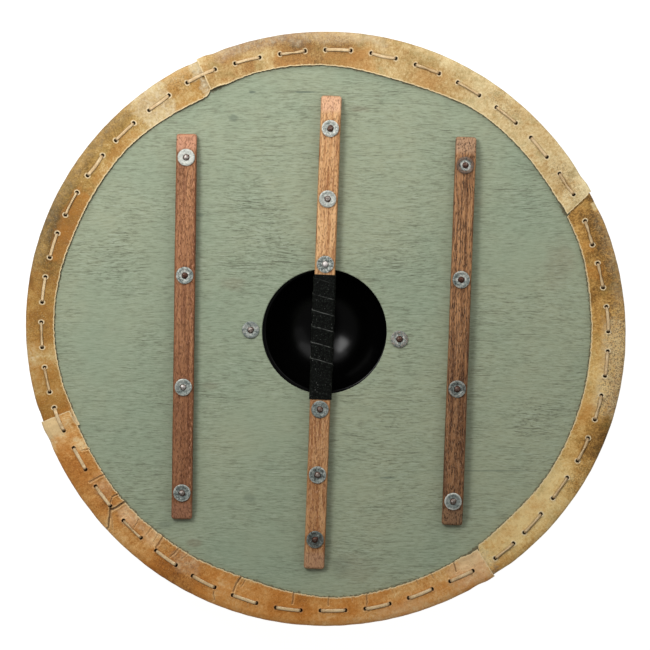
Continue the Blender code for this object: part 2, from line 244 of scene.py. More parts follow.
def finishMaterial(start, shader, colour, roughness=None, height=None, depth=0.0003):
    links = start.tree.links
    if isinstance(colour, Wire):
        links.new(colour.socket, shader.inputs["Base Color"])
    else:
        shader.inputs["Base Color"].default_value = colour
    if roughness is not None:
        links.new(roughness.socket, shader.inputs["Roughness"])
    if height is not None:
        bump = {"Height": height, "Distance": depth, "Strength": 1.0}
        relief = start.node("Bump", out="Normal", inputs=bump)
        links.new(relief.socket, shader.inputs["Normal"])


# the disc's outline and the stitches that all its pieces share
shield = {
    "radius": 0.3048,  # over the hide
    "crest": -20.0,  # widest along this line
    "waves": ((2, 0.0018), (4, 0.0006)),
    "hide": 0.0016,
    "stitchRuns": (
        (28.5, 9.41, 9, 5.0), (113.2, 0, 1, 6.1), (124.0, 9.13, 8, 4.9), (196.3, 9.09, 12, 4.9),
        (306.5, 0, 1, 4.6), (314.3, 9.04, 8, 4.9),
    ),
    "joints": (26.5, 115.0, 198.6, 304.0), "planed": 0.0010,
    "planedReach": (1.3, 5.2),  # degrees from a joint
    "climb": (1.3, 4.6),  # degrees from its end in which a strip on top comes down to the board
    "stitchInset": 0.0177,
    # the hand-punched line wanders: mm nearer the edge, at every 9 degrees
    "stitchWander": (
        -0.5, -2.0, -2.0, 1.0, -0.5, 0.0, -1.0, -1.0, -1.5, -1.0,
        -1.5, -2.0, -0.5, 1.5, -1.0, -1.0, -0.5, 0.0, 1.0, 1.5,
        1.5, 1.5, 1.0, -2.5, -1.5, -1.5, -1.0, 0.5, 2.0, 3.0,
        1.5, 2.5, 1.0, 0.5, 3.5, 2.0, 0.0, 0.5, 0.0, -0.5, -0.5,
    ),
    "punchPast": 0.0006,  # from the end of a stitch to the middle of its hole
}
ride = shield["hide"] + gap  # how much a strip rises over another


def outlineAt(degrees):
    around = math.radians(degrees - shield["crest"])
    return shield["radius"] + sum(height * math.cos(count * around) for count, height in shield["waves"])


def stitchRadius(degrees):
    wander = curveThrough(shield["stitchWander"], degrees % 360 / 360) / 1000
    return outlineAt(degrees) - shield["stitchInset"] + wander


def pressedIn(degrees):  # the edge is planed back a little at the joints, where two strips overlap
    near = min(abs((degrees - joint + 180) % 360 - 180) for joint in shield["joints"])
    return shield["planed"] * (1 - ease(near, *shield["planedReach"]))


stitches = []
for first, spacing, count, length in shield["stitchRuns"]:
    stitches += [(first + k * spacing, first + k * spacing + length) for k in range(count)]

# punched holes: (angle, radius), a little past the end of the stitch
punched = []
for start, end in stitches:
    for degrees, away in ((start, -1), (end, 1)):
        radius = stitchRadius(degrees)
        punched.append((degrees + away * math.degrees(shield["punchPast"] / radius), radius))


# board: plywood disc, thin matt green paint
board = {
    "holeCentre": (-0.0014, -0.0029),
    "holeRadius": 0.0637,
    "steps": 720,
    "nearHide": (0.2600, 0.2800),  # rings on either side of the hide's cut edge
    "edgeRounding": 0.0030,
    "holeRounding": 0.0007,
    "punch": 0.0021,  # radius of a lace hole
    "green": (151, 163, 137),
    "greenCool": (145, 159, 134),
    "greenWarm": (158, 165, 137),
    "light": (170, 180, 157),
    "stroke": (88, 86, 66),  # bare wood in the grain
    # marks: x, y, half width, half height, strength
    "busy": (
        (-0.210, 0.070, 0.030, 0.050, 0.7), (-0.067, 0.096, 0.040, 0.080, 0.6),
        (0.213, -0.093, 0.035, 0.025, 0.8), (0.08, 0.06, 0.05, 0.09, 0.3),
    ),
    "calm": (
        (-0.230, 0.0, 0.035, 0.050, 0.9), (-0.07, -0.10, 0.045, 0.035, 0.7),
        (-0.06, -0.215, 0.04, 0.03, 0.6), (0.195, 0.075, 0.03, 0.04, 0.5), (0.03, -0.16, 0.03, 0.03, 0.6),
    ),
    "smudges": (
        (-0.094, 0.215, 0.005, 0.004, 0.5), (-0.075, 0.2415, 0.004, 0.0015, 0.8),
        (-0.022, 0.2415, 0.013, 0.0009, 0.9), (-0.128, 0.116, 0.004, 0.002, 0.5),
        (0.063, -0.152, 0.010, 0.0012, 0.6), (0.163, -0.145, 0.062, 0.0007, 0.55),
        (0.0145, -0.241, 0.011, 0.010, 0.25), (-0.078, -0.173, 0.007, 0.005, 0.35),
        (-0.164, -0.2, 0.008, 0.004, 0.35),
    ),
    "browns": (
        (-0.1345, -0.2187, 0.008, 0.005, 0.45), (-0.0926, 0.0466, 0.014, 0.008, 0.35),
        (-0.118, -0.059, 0.010, 0.005, 0.3), (0.148, 0.13, 0.012, 0.006, 0.2),
        (0.029, -0.242, 0.027, 0.016, 0.25), (0.033, 0.224, 0.011, 0.004, 0.4),
        (0.238, 0.067, 0.016, 0.028, 0.3),
    ),
}


def smudge(place, marks, edge):  # soft oval marks; edge is a noise that roughens them
    total = None
    for x, y, wide, high, strength in marks:
        away = place.moved((-x, -y, 0.0)).stretched(1 / wide, 1 / high, 0.0).length()
        mark = (away + (edge - 0.5) * 1.2).band(1.25, 0.45) * strength
        total = mark if total is None else total.top(mark)
    return total


def makeGreenPaint():
    material, shader, start = newMaterial("green_paint", roughness=0.6, specular=0.3)
    place = start.node("TexCoord", out="Object")
    slow = place.stretched(1.0, 1.6, 1.0).noise(6.0, 2.0, 0.5)
    grain = place.moved(start.node("CombineXYZ", inputs={1: (slow - 0.5) * 0.020}))
    cloud = place.noise(7.0, 4.0, 0.6)
    mid = place.stretched(1.0, 1.6, 1.0).noise(42.0, 4.0, 0.6)
    long = grain.stretched(60.0, 760.0, 60.0).noise(1.0, 2.0, 0.55)
    short = grain.moved((0.31, 0.17, 0.0)).stretched(230.0, 760.0, 230.0).noise(1.0, 3.0, 0.6)
    rare = grain.moved((0.55, 0.29, 0.0)).stretched(24.0, 700.0, 24.0).noise(1.0, 2.0, 0.5)
    ridge = grain.moved((0.83, 0.41, 0.0)).stretched(120.0, 600.0, 120.0).noise(1.0, 3.0, 0.6)
    tooth = grain.moved((0.13, 0.77, 0.0)).stretched(120.0, 720.0, 120.0).noise(1.0, 3.0, 0.62)
    thread = grain.moved((0.61, 0.11, 0.0)).stretched(110.0, 950.0, 110.0).noise(1.0, 2.0, 0.6)
    busy = place.stretched(0.8, 1.5, 1.0).noise(14.0, 4.0, 0.62).band(0.34, 0.66)
    busy = 0.32 + busy * 0.75 + smudge(place, board["busy"], cloud) - smudge(place, board["calm"], cloud)
    busy = busy.top(0.10)
    pores = (long.band(0.58, 0.70) * 0.45 + short.band(0.56, 0.70) * 0.5) * busy
    pores = pores + rare.band(0.63, 0.72) * (0.15 + busy * 0.45)
    colour = cloud.band(0.35, 0.65).over(board["greenCool"], board["greenWarm"])
    colour = (mid.band(0.3, 0.7) * 0.5).over(colour, board["green"])
    brown = smudge(place, board["browns"], mid)
    brown = brown + place.stretched(1.0, 2.4, 1.0).noise(26.0, 5.0, 0.65).band(0.60, 0.76) * 0.14
    colour = (brown * (0.5 + short)).low(0.8).over(colour, (132, 120, 98))
    colour = (tooth.band(0.50, 0.68) * 0.42 * (0.4 + busy * 0.55)).over(colour, board["stroke"])
    colour = (thread.band(0.53, 0.68) * 0.40 * (0.35 + busy * 0.5)).over(colour, board["stroke"])
    # paler lines beside the dark grain and on its raised ridges: partly paler wood, partly a painted
    # highlight of the relief
    colour = (tooth.band(0.48, 0.30) * 0.55 * (0.4 + busy * 0.6)).over(colour, board["light"])
    colour = (thread.band(0.46, 0.32) * 0.34 * (0.4 + busy * 0.5)).over(colour, board["light"])
    colour = (ridge.band(0.53, 0.70) * 0.36 * (0.4 + busy * 0.6)).over(colour, board["light"])
    colour = (pores.low(1.0) * 0.60).over(colour, board["stroke"])
    colour = smudge(place, board["smudges"], short).over(colour, (96, 108, 92))
    flecks = place.stretched(1.0, 2.0, 1.0).noise(420.0, 2.0, 0.5).band(0.74, 0.80)
    colour = (flecks * 0.5).over(colour, (72, 80, 70))
    # dirt and painted shade along the hide's edge: a thin broken brown line of dirt and cast shade under the
    # cut edge
    hideAway = start.layer("hideAway")
    crumbs = place.noise(330.0, 3.0, 0.6)
    dirtAndShade = (hideAway + (mid - 0.5) * 2.4 + (crumbs - 0.5) * 6.0).band(1.7, 0.3)
    colour = (dirtAndShade * (0.2 + mid * 0.9)).low(0.65).over(colour, (86, 60, 22))
    # a faint wider band of painted shade on the board beside the hide
    colour = ((hideAway + (mid - 0.5) * 9.0).band(9.0, 1.0) * 0.10).over(colour, (92, 94, 72))
    height = 0.6 - pores * 0.7 + ridge * 0.5 - tooth * 0.15
    finishMaterial(start, shader, colour, 0.55 + pores * 0.2, height, 0.0004)
    return material


def makeBoard():
    bm = bmesh.new()
    steps, near = board["steps"], board["nearHide"]
    rows = len(near) + 1
    bmesh.ops.create_grid(bm, x_segments=steps, y_segments=rows, size=1.0)
    for vert in bm.verts:
        column, row = gridSteps(vert, steps, rows)
        degrees = 360 * column / steps
        if row == 0:
            vert.co = polar(board["holeRadius"], degrees, boardFront) + Vector((*board["holeCentre"], 0.0))
        elif row < rows:
            vert.co = polar(near[row - 1], degrees, boardFront)
        else:
            vert.co = polar(outlineAt(degrees) - ride - pressedIn(degrees), degrees, boardFront)
    bmesh.ops.remove_doubles(bm, verts=bm.verts[:], dist=1e-6)
    grown = bmesh.ops.extrude_face_region(bm, geom=bm.faces[:])["geom"]
    risen = [item for item in grown if isinstance(item, bmesh.types.BMVert)]
    bmesh.ops.translate(bm, verts=risen, vec=(0, 0, boardBack - boardFront))
    bmesh.ops.recalc_face_normals(bm, faces=bm.faces[:])
    inOrOut = 0.2  # radius between the hand hole and the edge
    for low, high, rounding in ((inOrOut, 1.0, board["edgeRounding"]), (0.0, inOrOut, board["holeRounding"])):
        corners = [
            edge for edge in bm.edges
            if low < edge.verts[0].co.xy.length < high and abs(edge.verts[0].co.z - edge.verts[1].co.z) < 1e-6
            and len(edge.link_faces) == 2 and edge.calc_face_angle(0) > 1
        ]
        roundEdges(bm, corners, rounding, 3)
    hideAway = bm.verts.layers.float.new("hideAway")  # mm in from the cut edge of the hide
    for vert in bm.verts:
        degrees = math.degrees(math.atan2(vert.co.y, vert.co.x)) % 360
        cut = cutOver(degrees) if vert.co.z > boardMiddle else outlineAt(degrees) - fold["frontReach"]
        vert[hideAway] = (cut - vert.co.xy.length) * 1000
    piece = addPiece("painted_board", bm, makeGreenPaint(), ["board"])
    cutter = bmesh.new()
    for degrees, radius in punched:
        place = Matrix.Translation(polar(radius, degrees, boardMiddle))
        bmesh.ops.create_cone(
            cutter, cap_ends=True, segments=12, radius1=board["punch"], radius2=board["punch"],
            depth=0.03, matrix=place,
        )
    tool = addPiece("punch", cutter, piece.data.materials[0], None)
    punch = piece.modifiers.new("punch", "BOOLEAN")
    punch.operation = "DIFFERENCE"
    punch.object = tool
    bakeModifiers(piece, 12)
    bpy.data.objects.remove(tool)
    print("board:", len(piece.data.polygons), "faces")


# boss: spun steel dome, black paint
boss = {
    "centre": (0.0001, -0.0020),
    "depth": 0.050,  # floor to the underside of the flange
    "wall": 0.002,
    "dome": 0.063,  # outside radius where it meets the flange
    "foot": 0.010,  # radius of the flat spot
    "lip": 0.002,
    "flangeRounding": 0.0006,
    "steps": 160,
    "rings": 40,
}


def makeBlackPaint():
    material, shader, start = newMaterial("black_paint", roughness=0.2, specular=0.17)
    place = start.node("TexCoord", out="Object")
    dust = place.noise(700.0, 3.0, 0.6)
    cloud = place.noise(30.0, 3.0, 0.6)
    colour = cloud.over((0, 0, 0), (2, 2, 2))
    colour = (dust.band(0.68, 0.76) * 0.2).over(colour, (52, 54, 52))
    finishMaterial(start, shader, colour, 0.17 + cloud * 0.06, cloud * 0.3 + dust * 0.01, 0.0002)
    return material


def makeBoss():
    flangeLow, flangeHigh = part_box("boss")
    flange = (flangeHigh.x - flangeLow.x) / 2
    top, under = flangeHigh.z, boss["depth"]
    middle = (boss["dome"] ** 2 - boss["foot"] ** 2 + under**2) / (2 * under)
    outer = math.hypot(middle, boss["foot"])
    inner = outer - boss["wall"]
    mouth = math.acos((middle - top + boss["lip"]) / inner)
    rim, foot = math.asin(boss["dome"] / outer), math.asin(boss["foot"] / outer)
    rings = boss["rings"]

    def onSphere(radius, angle):
        return radius * math.sin(angle), middle - radius * math.cos(angle)

    profile = [(0.0, middle - inner)] + [onSphere(inner, mouth * k / rings) for k in range(1, rings + 1)]
    edge = profile[-1][0]
    for k in range(1, 6):  # the mouth turns over into the flange
        turn = math.radians(18 * k)
        profile.append((edge + boss["lip"] * (1 - math.cos(turn)), top - boss["lip"] * (1 - math.sin(turn))))
    eased = boss["flangeRounding"]
    profile += [(flange - eased, top), (flange, top - eased)]
    profile += [(flange, under + eased), (flange - eased, under)]
    profile += [(boss["dome"] + 0.0022, under), (boss["dome"] + 0.0008, under - 0.0005)]
    profile += [onSphere(outer, rim + (foot - rim) * k / rings) for k in range(1, rings + 1)]
    profile.append((0.0, 0.0))
    bm = bmesh.new()
    turned(bm, profile, boss["steps"])
    bmesh.ops.translate(bm, verts=bm.verts[:], vec=(*boss["centre"], 0.0))
    addPiece("domed_boss", bm, makeBlackPaint(), ["boss"], 50)
    print("boss done")


# battens: planed hardwood bars with sloped ends
# darkened: along the bar, where the darker colour begins and is full, and its strength
battens = {
    "left": {
        "bottom": (-0.1467, -0.1941), "top": (-0.1416, 0.1986), "slot": "reddish_wood", "seed": 3.0,
        "light": (188, 133, 90), "mid": (156, 102, 64), "dark": (102, 58, 32), "pore": (80, 42, 22),
        "tip": (206, 148, 116),
        "poreAmount": 0.5, "poreLength": 260.0, "fleck": 0.3, "sideHighlight": 0.5, "darkened": (0.12, -0.17, 0.5),
        "darkening": (92, 48, 22), "streaks": 0.5,
    },
    "grip": {
        "bottom": (-0.0120, -0.2447), "top": (0.0058, 0.2374), "slot": "tan_wood", "seed": 11.0,
        "light": (230, 182, 128), "mid": (206, 152, 98), "dark": (154, 98, 52), "pore": (116, 62, 28),
        "tip": (224, 176, 142),
        "poreAmount": 0.5, "poreLength": 260.0, "fleck": 0.4, "sideHighlight": 0.0, "darkened": (0.06, -0.10, 0.34),
        "darkening": (116, 62, 22), "streaks": 0.75,
    },
    "right": {
        "bottom": (0.1285, -0.2002), "top": (0.1430, 0.1955), "slot": "brown_wood", "seed": 23.0,
        "light": (198, 146, 98), "mid": (142, 96, 57), "dark": (76, 44, 22), "pore": (50, 27, 13),
        "tip": (176, 140, 108),
        "poreAmount": 0.8, "poreLength": 190.0, "fleck": 0.5, "sideHighlight": 0.0, "darkened": (0.10, -0.15, 0.5),
        "darkening": (74, 40, 18), "streaks": 0.75,
    },
}
bar = {
    "width": 0.021, "thickness": 0.011, "rounding": 0.0024, "footRounding": 0.0006,
    "ramp": 0.017, "tip": 0.005,  # length of the slope, and thickness left at its end
    "corner": 0.0028,
    "step": 0.006,  # between cuts along the bar, which are closer near the end:
    "endCuts": (
        0.024, 0.021, 0.019, 0.017, 0.015, 0.013, 0.009, 0.006, 0.0042, 0.0030, 0.0021, 0.0014, 0.0008,
        0.0003,
    ),
}


def makeWood(side, spec, centre, turn, length):
    material, shader, start = newMaterial(spec["slot"], roughness=0.5, specular=0.35)
    whole = start.node("TexCoord", out="Object")
    frameOfBar = {"Vector": whole, "Location": (*centre, 0.0), "Rotation": (0, 0, turn)}
    place = whole.node("Mapping", vector_type="TEXTURE", inputs=frameOfBar)
    place = place.moved((0.0, 0.0, spec["seed"]))
    slow = place.noise(16.0, 2.0, 0.5)
    fibre = place.moved(start.node("CombineXYZ", inputs={0: (slow - 0.5) * 0.006}))
    broad = fibre.stretched(260.0, 8.0, 60.0).noise(1.0, 3.0, 0.55)
    fine = fibre.stretched(900.0, 80.0, 500.0).noise(1.0, 3.0, 0.6)
    dashes = fibre.stretched(1100.0, spec["poreLength"], 900.0).noise(1.0, 2.0, 0.5)
    glints = fibre.moved((0.4, 0.2, 0.1)).stretched(1400.0, 280.0, 900.0).noise(1.0, 2.0, 0.5)
    across, along = (place.node("SeparateXYZ", out=axis, inputs={0: place}) for axis in ("X", "Y"))
    end = along.maths("ABSOLUTE", along)
    streak = fibre.moved((0.2, 0.6, 0.9)).stretched(560.0, 22.0, 300.0).noise(1.0, 3.0, 0.6)
    colour = broad.band(0.3, 0.7).over(spec["light"], spec["mid"])
    colour = (broad.band(0.52, 0.74) * 0.6).over(colour, spec["dark"])
    colour = (streak.band(0.50, 0.64) * spec["streaks"]).over(colour, spec["dark"])
    colour = (streak.band(0.47, 0.33) * spec["streaks"] * 0.8).over(colour, spec["light"])
    colour = (fine.band(0.48, 0.72) * 0.45).over(colour, spec["dark"])
    colour = (fine.band(0.5, 0.25) * 0.35).over(colour, spec["light"])
    # the bars are painted darker towards their lower ends
    darkFrom, darkTo, darkBy = spec["darkened"]
    colour = (along.band(darkFrom, darkTo) * darkBy).over(colour, spec["darkening"])
    tip = end.band(length / 2 - 0.020, length / 2 - 0.013)
    upper = along.band(-0.1, 0.1)
    colour = (tip * upper * (0.2 + broad * 0.5 + fine * 0.5)).over(colour, spec["tip"])
    colour = (tip * (1.0 - upper) * (0.1 + fine * 0.4 + broad * 0.25)).over(colour, spec["tip"])
    pores = dashes.band(0.53, 0.64)
    colour = (pores * spec["poreAmount"]).over(colour, spec["pore"])
    # pale flecks in the grain, with extra flecks along the bar's right-hand edge that are a painted highlight
    flecks = glints.band(0.56, 0.68) * (spec["fleck"] + across.band(0.0045, 0.0085) * spec["sideHighlight"])
    colour = flecks.over(colour, spec["tip"])
    # the bars' rounded long edges and their ends are painted darker
    arris = across.maths("ABSOLUTE", across).band(0.0088, 0.0104)
    arris = arris.top(end.band(length / 2 - 0.0014, length / 2 - 0.0002))
    colour = (arris * (0.1 + broad * 0.5)).over(colour, spec["darkening"])
    # a dark ring on the wood round each washer: stain and painted contact shade
    roves = []
    for number in range(1, fixings["families"][side] + 1):
        roveLow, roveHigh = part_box(f"{side}_washer_{number}")
        roves.append((*((roveLow + roveHigh) / 2).xy, 0.0098, 0.0098, 0.8))
    colour = (smudge(whole, roves, fine) * (0.4 + broad * 0.6)).over(colour, spec["darkening"])
    height = fine * 0.5 - pores * 0.8 + glints * 0.4
    finishMaterial(start, shader, colour, 0.45 + pores * 0.25 + fine * 0.1, height, 0.0004)
    return material


def makeBatten(side, spec):
    low, high = Vector(spec["bottom"]), Vector(spec["top"])
    centre, reach = (low + high) / 2, high - low
    length, turn = reach.length, math.atan2(reach.y, reach.x) - math.pi / 2
    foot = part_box(side + "_batten")[0].z
    bm = bmesh.new()
    lift = Matrix.Translation((0, 0, bar["thickness"] / 2))
    stretch = Matrix.Diagonal((bar["width"], length, bar["thickness"], 1.0))
    bmesh.ops.create_cube(bm, size=1.0, matrix=lift @ stretch)
    long = [e for e in bm.edges if abs(e.verts[0].co.y - e.verts[1].co.y) > 0.1]
    upper = [e for e in long if e.verts[0].co.z > 0.001]
    lower = [e for e in long if e.verts[0].co.z <= 0.001]
    roundEdges(bm, upper, bar["rounding"], 5)
    roundEdges(bm, [e for e in lower if e.is_valid], bar["footRounding"], 2)
    half = length / 2
    cuts = [k * bar["step"] for k in range(int((half - 0.03) / bar["step"]) + 1)]
    cuts += [half - inside for inside in bar["endCuts"]]
    for y in cuts:
        cutAcross(bm, -y)
        cutAcross(bm, y)
    seed = spec["seed"]
    for vert in bm.verts:
        x, y, z = vert.co
        inside = half - abs(y)  # distance from the end
        slope = ease(inside, -0.004, bar["ramp"] + 0.004)
        vert.co.z = z * (bar["tip"] + (bar["thickness"] - bar["tip"]) * slope) / bar["thickness"]
        corner = bar["corner"]
        if inside < corner:  # corners rounded off in plan
            reachIn = corner - math.sqrt(max(corner**2 - (corner - inside) ** 2, 0.0))
            vert.co.x = x * (bar["width"] / 2 - reachIn) / (bar["width"] / 2)
            vert.co.z *= 1 - 0.35 * ((corner - inside) / corner) ** 3
        sideways = 0.00022 * ripple(y * 22, seed, x * 30) + 0.00012 * ripple(y * 90, seed, x * 60)
        vert.co.x += sideways
        vert.co.z += 0.00015 * ripple(y * 30, x * 60, seed) * ease(z, 0.002, 0.008)
    bmesh.ops.rotate(bm, verts=bm.verts[:], cent=(0, 0, 0), matrix=Matrix.Rotation(turn, 3, "Z"))
    bmesh.ops.translate(bm, verts=bm.verts[:], vec=(centre.x, centre.y, foot))
    material = makeWood(side, spec, centre, turn, length)
    addPiece(side + "_bar", bm, material, [side + "_batten"], 50)
    print(side, "batten done")


# grip wrap: one leather strip wound downwards, each turn over the last
wrap = {
    "from": -0.0720, "to": 0.0550,
    "pitch": 0.0163,
    "thickness": 0.0008,
    "rise": 0.0009,  # step at the edge of a turn
    "firstSeam": 0.0345,  # along the bar, left end of the highest seam
    "rowsPerTurn": 26,
    "around": 72,
    "corner": 0.0032,
}


def makeBlackLeather():
    material, shader, start = newMaterial("black_leather", roughness=0.6, specular=0.07)
    place = start.node("TexCoord", out="Object")
    seam = start.layer("seamAway")
    pebble = place.cells(1500.0)
    crack = place.noise(420.0, 4.0, 0.65)
    specks = place.noise(800.0, 2.0, 0.5).band(0.68, 0.75)
    scuffs = place.moved((0.3, 0.1, 0.5)).noise(600.0, 3.0, 0.7)
    colour = crack.band(0.3, 0.7).over((0, 1, 0), (10, 12, 9))
    colour = (scuffs.band(0.50, 0.70) * (0.2 + crack) * 0.8).over(colour, (48, 54, 48))
    # the pale edge of each turn: the leather's grey cut edge and a painted highlight where the raised edge
    # catches the light
    edge = (seam + (crack - 0.5) * 0.0008).band(0.0007, 0.0001)
    edge = edge * place.noise(170.0, 2.0, 0.5).band(0.34, 0.62)
    colour = (edge * 0.85).over(colour, (106, 108, 104))
    colour = (specks * 0.5).over(colour, (150, 152, 148))
    height = pebble * 0.35 + crack * 0.5
    finishMaterial(start, shader, colour, 0.45 + crack * 0.25, height, 0.0003)
    return material


def makeWrap():
    grip = battens["grip"]
    low, high = Vector(grip["bottom"]), Vector(grip["top"])
    reach = high - low
    turn = math.atan2(reach.y, reach.x) - math.pi / 2
    foot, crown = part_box("grip_wrap")[0].z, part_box("grip_wrap")[1].z
    halfWidth = bar["width"] / 2 + gap + wrap["thickness"]
    halfHeight = (crown - foot) / 2
    corner = wrap["corner"]
    # the section's outline, as (x, z, normal) at even steps round it, starting at the left edge of the top
    straightX, straightZ = 2 * (halfWidth - corner), 2 * (halfHeight - corner)
    quarter = math.pi * corner / 2
    perimeter = 2 * straightX + 2 * straightZ + 4 * quarter

    def sectionAt(share):
        s = (share % 1.0) * perimeter
        sides = (
            (straightX, 90, -halfWidth + corner, halfHeight),
            (straightZ, 0, halfWidth, halfHeight - corner),
            (straightX, -90, halfWidth - corner, -halfHeight),
            (straightZ, 180, -halfWidth, -halfHeight + corner),
        )
        for run, facing, x, z in sides:
            out = Vector((math.cos(math.radians(facing)), math.sin(math.radians(facing))))
            onward = Vector((out.y, -out.x))
            if s <= run:
                return Vector((x, z)) + onward * s, out
            s -= run
            if s <= quarter:
                centre = Vector((x, z)) + onward * run - out * corner
                angle = math.radians(facing) - s / corner
                out = Vector((math.cos(angle), math.sin(angle)))
                return centre + out * corner, out
            s -= quarter
        return Vector((-halfWidth + corner, halfHeight)), Vector((0, 1))

    length = wrap["to"] - wrap["from"]
    turns = math.ceil(length / wrap["pitch"]) + 3
    rows = turns * wrap["rowsPerTurn"]
    bm = bmesh.new()
    seamAway = bm.verts.layers.float.new("seamAway")
    bmesh.ops.create_grid(bm, x_segments=wrap["around"], y_segments=rows, size=1.0)
    # the first row starts at a seam, at least one turn above the top end
    lead = math.ceil((wrap["to"] - wrap["firstSeam"]) / wrap["pitch"]) + 1
    topSeam = wrap["firstSeam"] + lead * wrap["pitch"]
    for vert in bm.verts:
        column, row = gridSteps(vert, wrap["around"], rows)
        share = column / wrap["around"]
        downs = row / wrap["rowsPerTurn"]
        phase = downs % 1.0
        y = topSeam - (downs + share) * wrap["pitch"]
        around = share * math.tau
        y += 0.0005 * ripple(math.floor(downs + 1e-6) * 3.7, math.sin(around), math.cos(around))
        spot, out = sectionAt(share)
        # each turn's edge stands proud and the rest of it slopes away under the next
        shown = ease(y, -0.0450, -0.0385) * (1 - 0.6 * ease(y, 0.0400, 0.0440))
        fall = (1 - phase) ** 1.6 if row % wrap["rowsPerTurn"] else 0.0
        height = wrap["rise"] * fall * (0.25 + 0.75 * shown)
        height += 0.00022 * ripple(y * 300, spot.x * 260, spot.y * 260) + 0.0002 * ripple(y * 90, share * 9)
        spot = spot + out * (height - wrap["rise"] * 0.35)
        vert[seamAway] = phase * wrap["pitch"] + 0.0006 * (1 - shown) if phase < 0.5 else 0.008
        vert.co = (spot.x, y, spot.y + (foot + crown) / 2)
    bmesh.ops.remove_doubles(bm, verts=bm.verts[:], dist=0.00005)
    for y, way in ((wrap["to"], 1), (wrap["from"], -1)):
        cutAcross(bm, y, way, clear=True)
    centre = low + reach * ((0 - low.y) / reach.y)
    bmesh.ops.recalc_face_normals(bm, faces=bm.faces[:])
    bmesh.ops.rotate(bm, verts=bm.verts[:], cent=(0, 0, 0), matrix=Matrix.Rotation(turn, 3, "Z"))
    bmesh.ops.translate(bm, verts=bm.verts[:], vec=(centre.x, centre.y, 0.0))
    piece = addPiece("wound_grip", bm, makeBlackLeather(), ["grip_wrap"], 60)
    leather = piece.modifiers.new("leather", "SOLIDIFY")
    leather.thickness = wrap["thickness"]
    leather.offset = -1.0
    bakeModifiers(piece, 60)
    print("wrap:", len(piece.data.polygons), "faces")


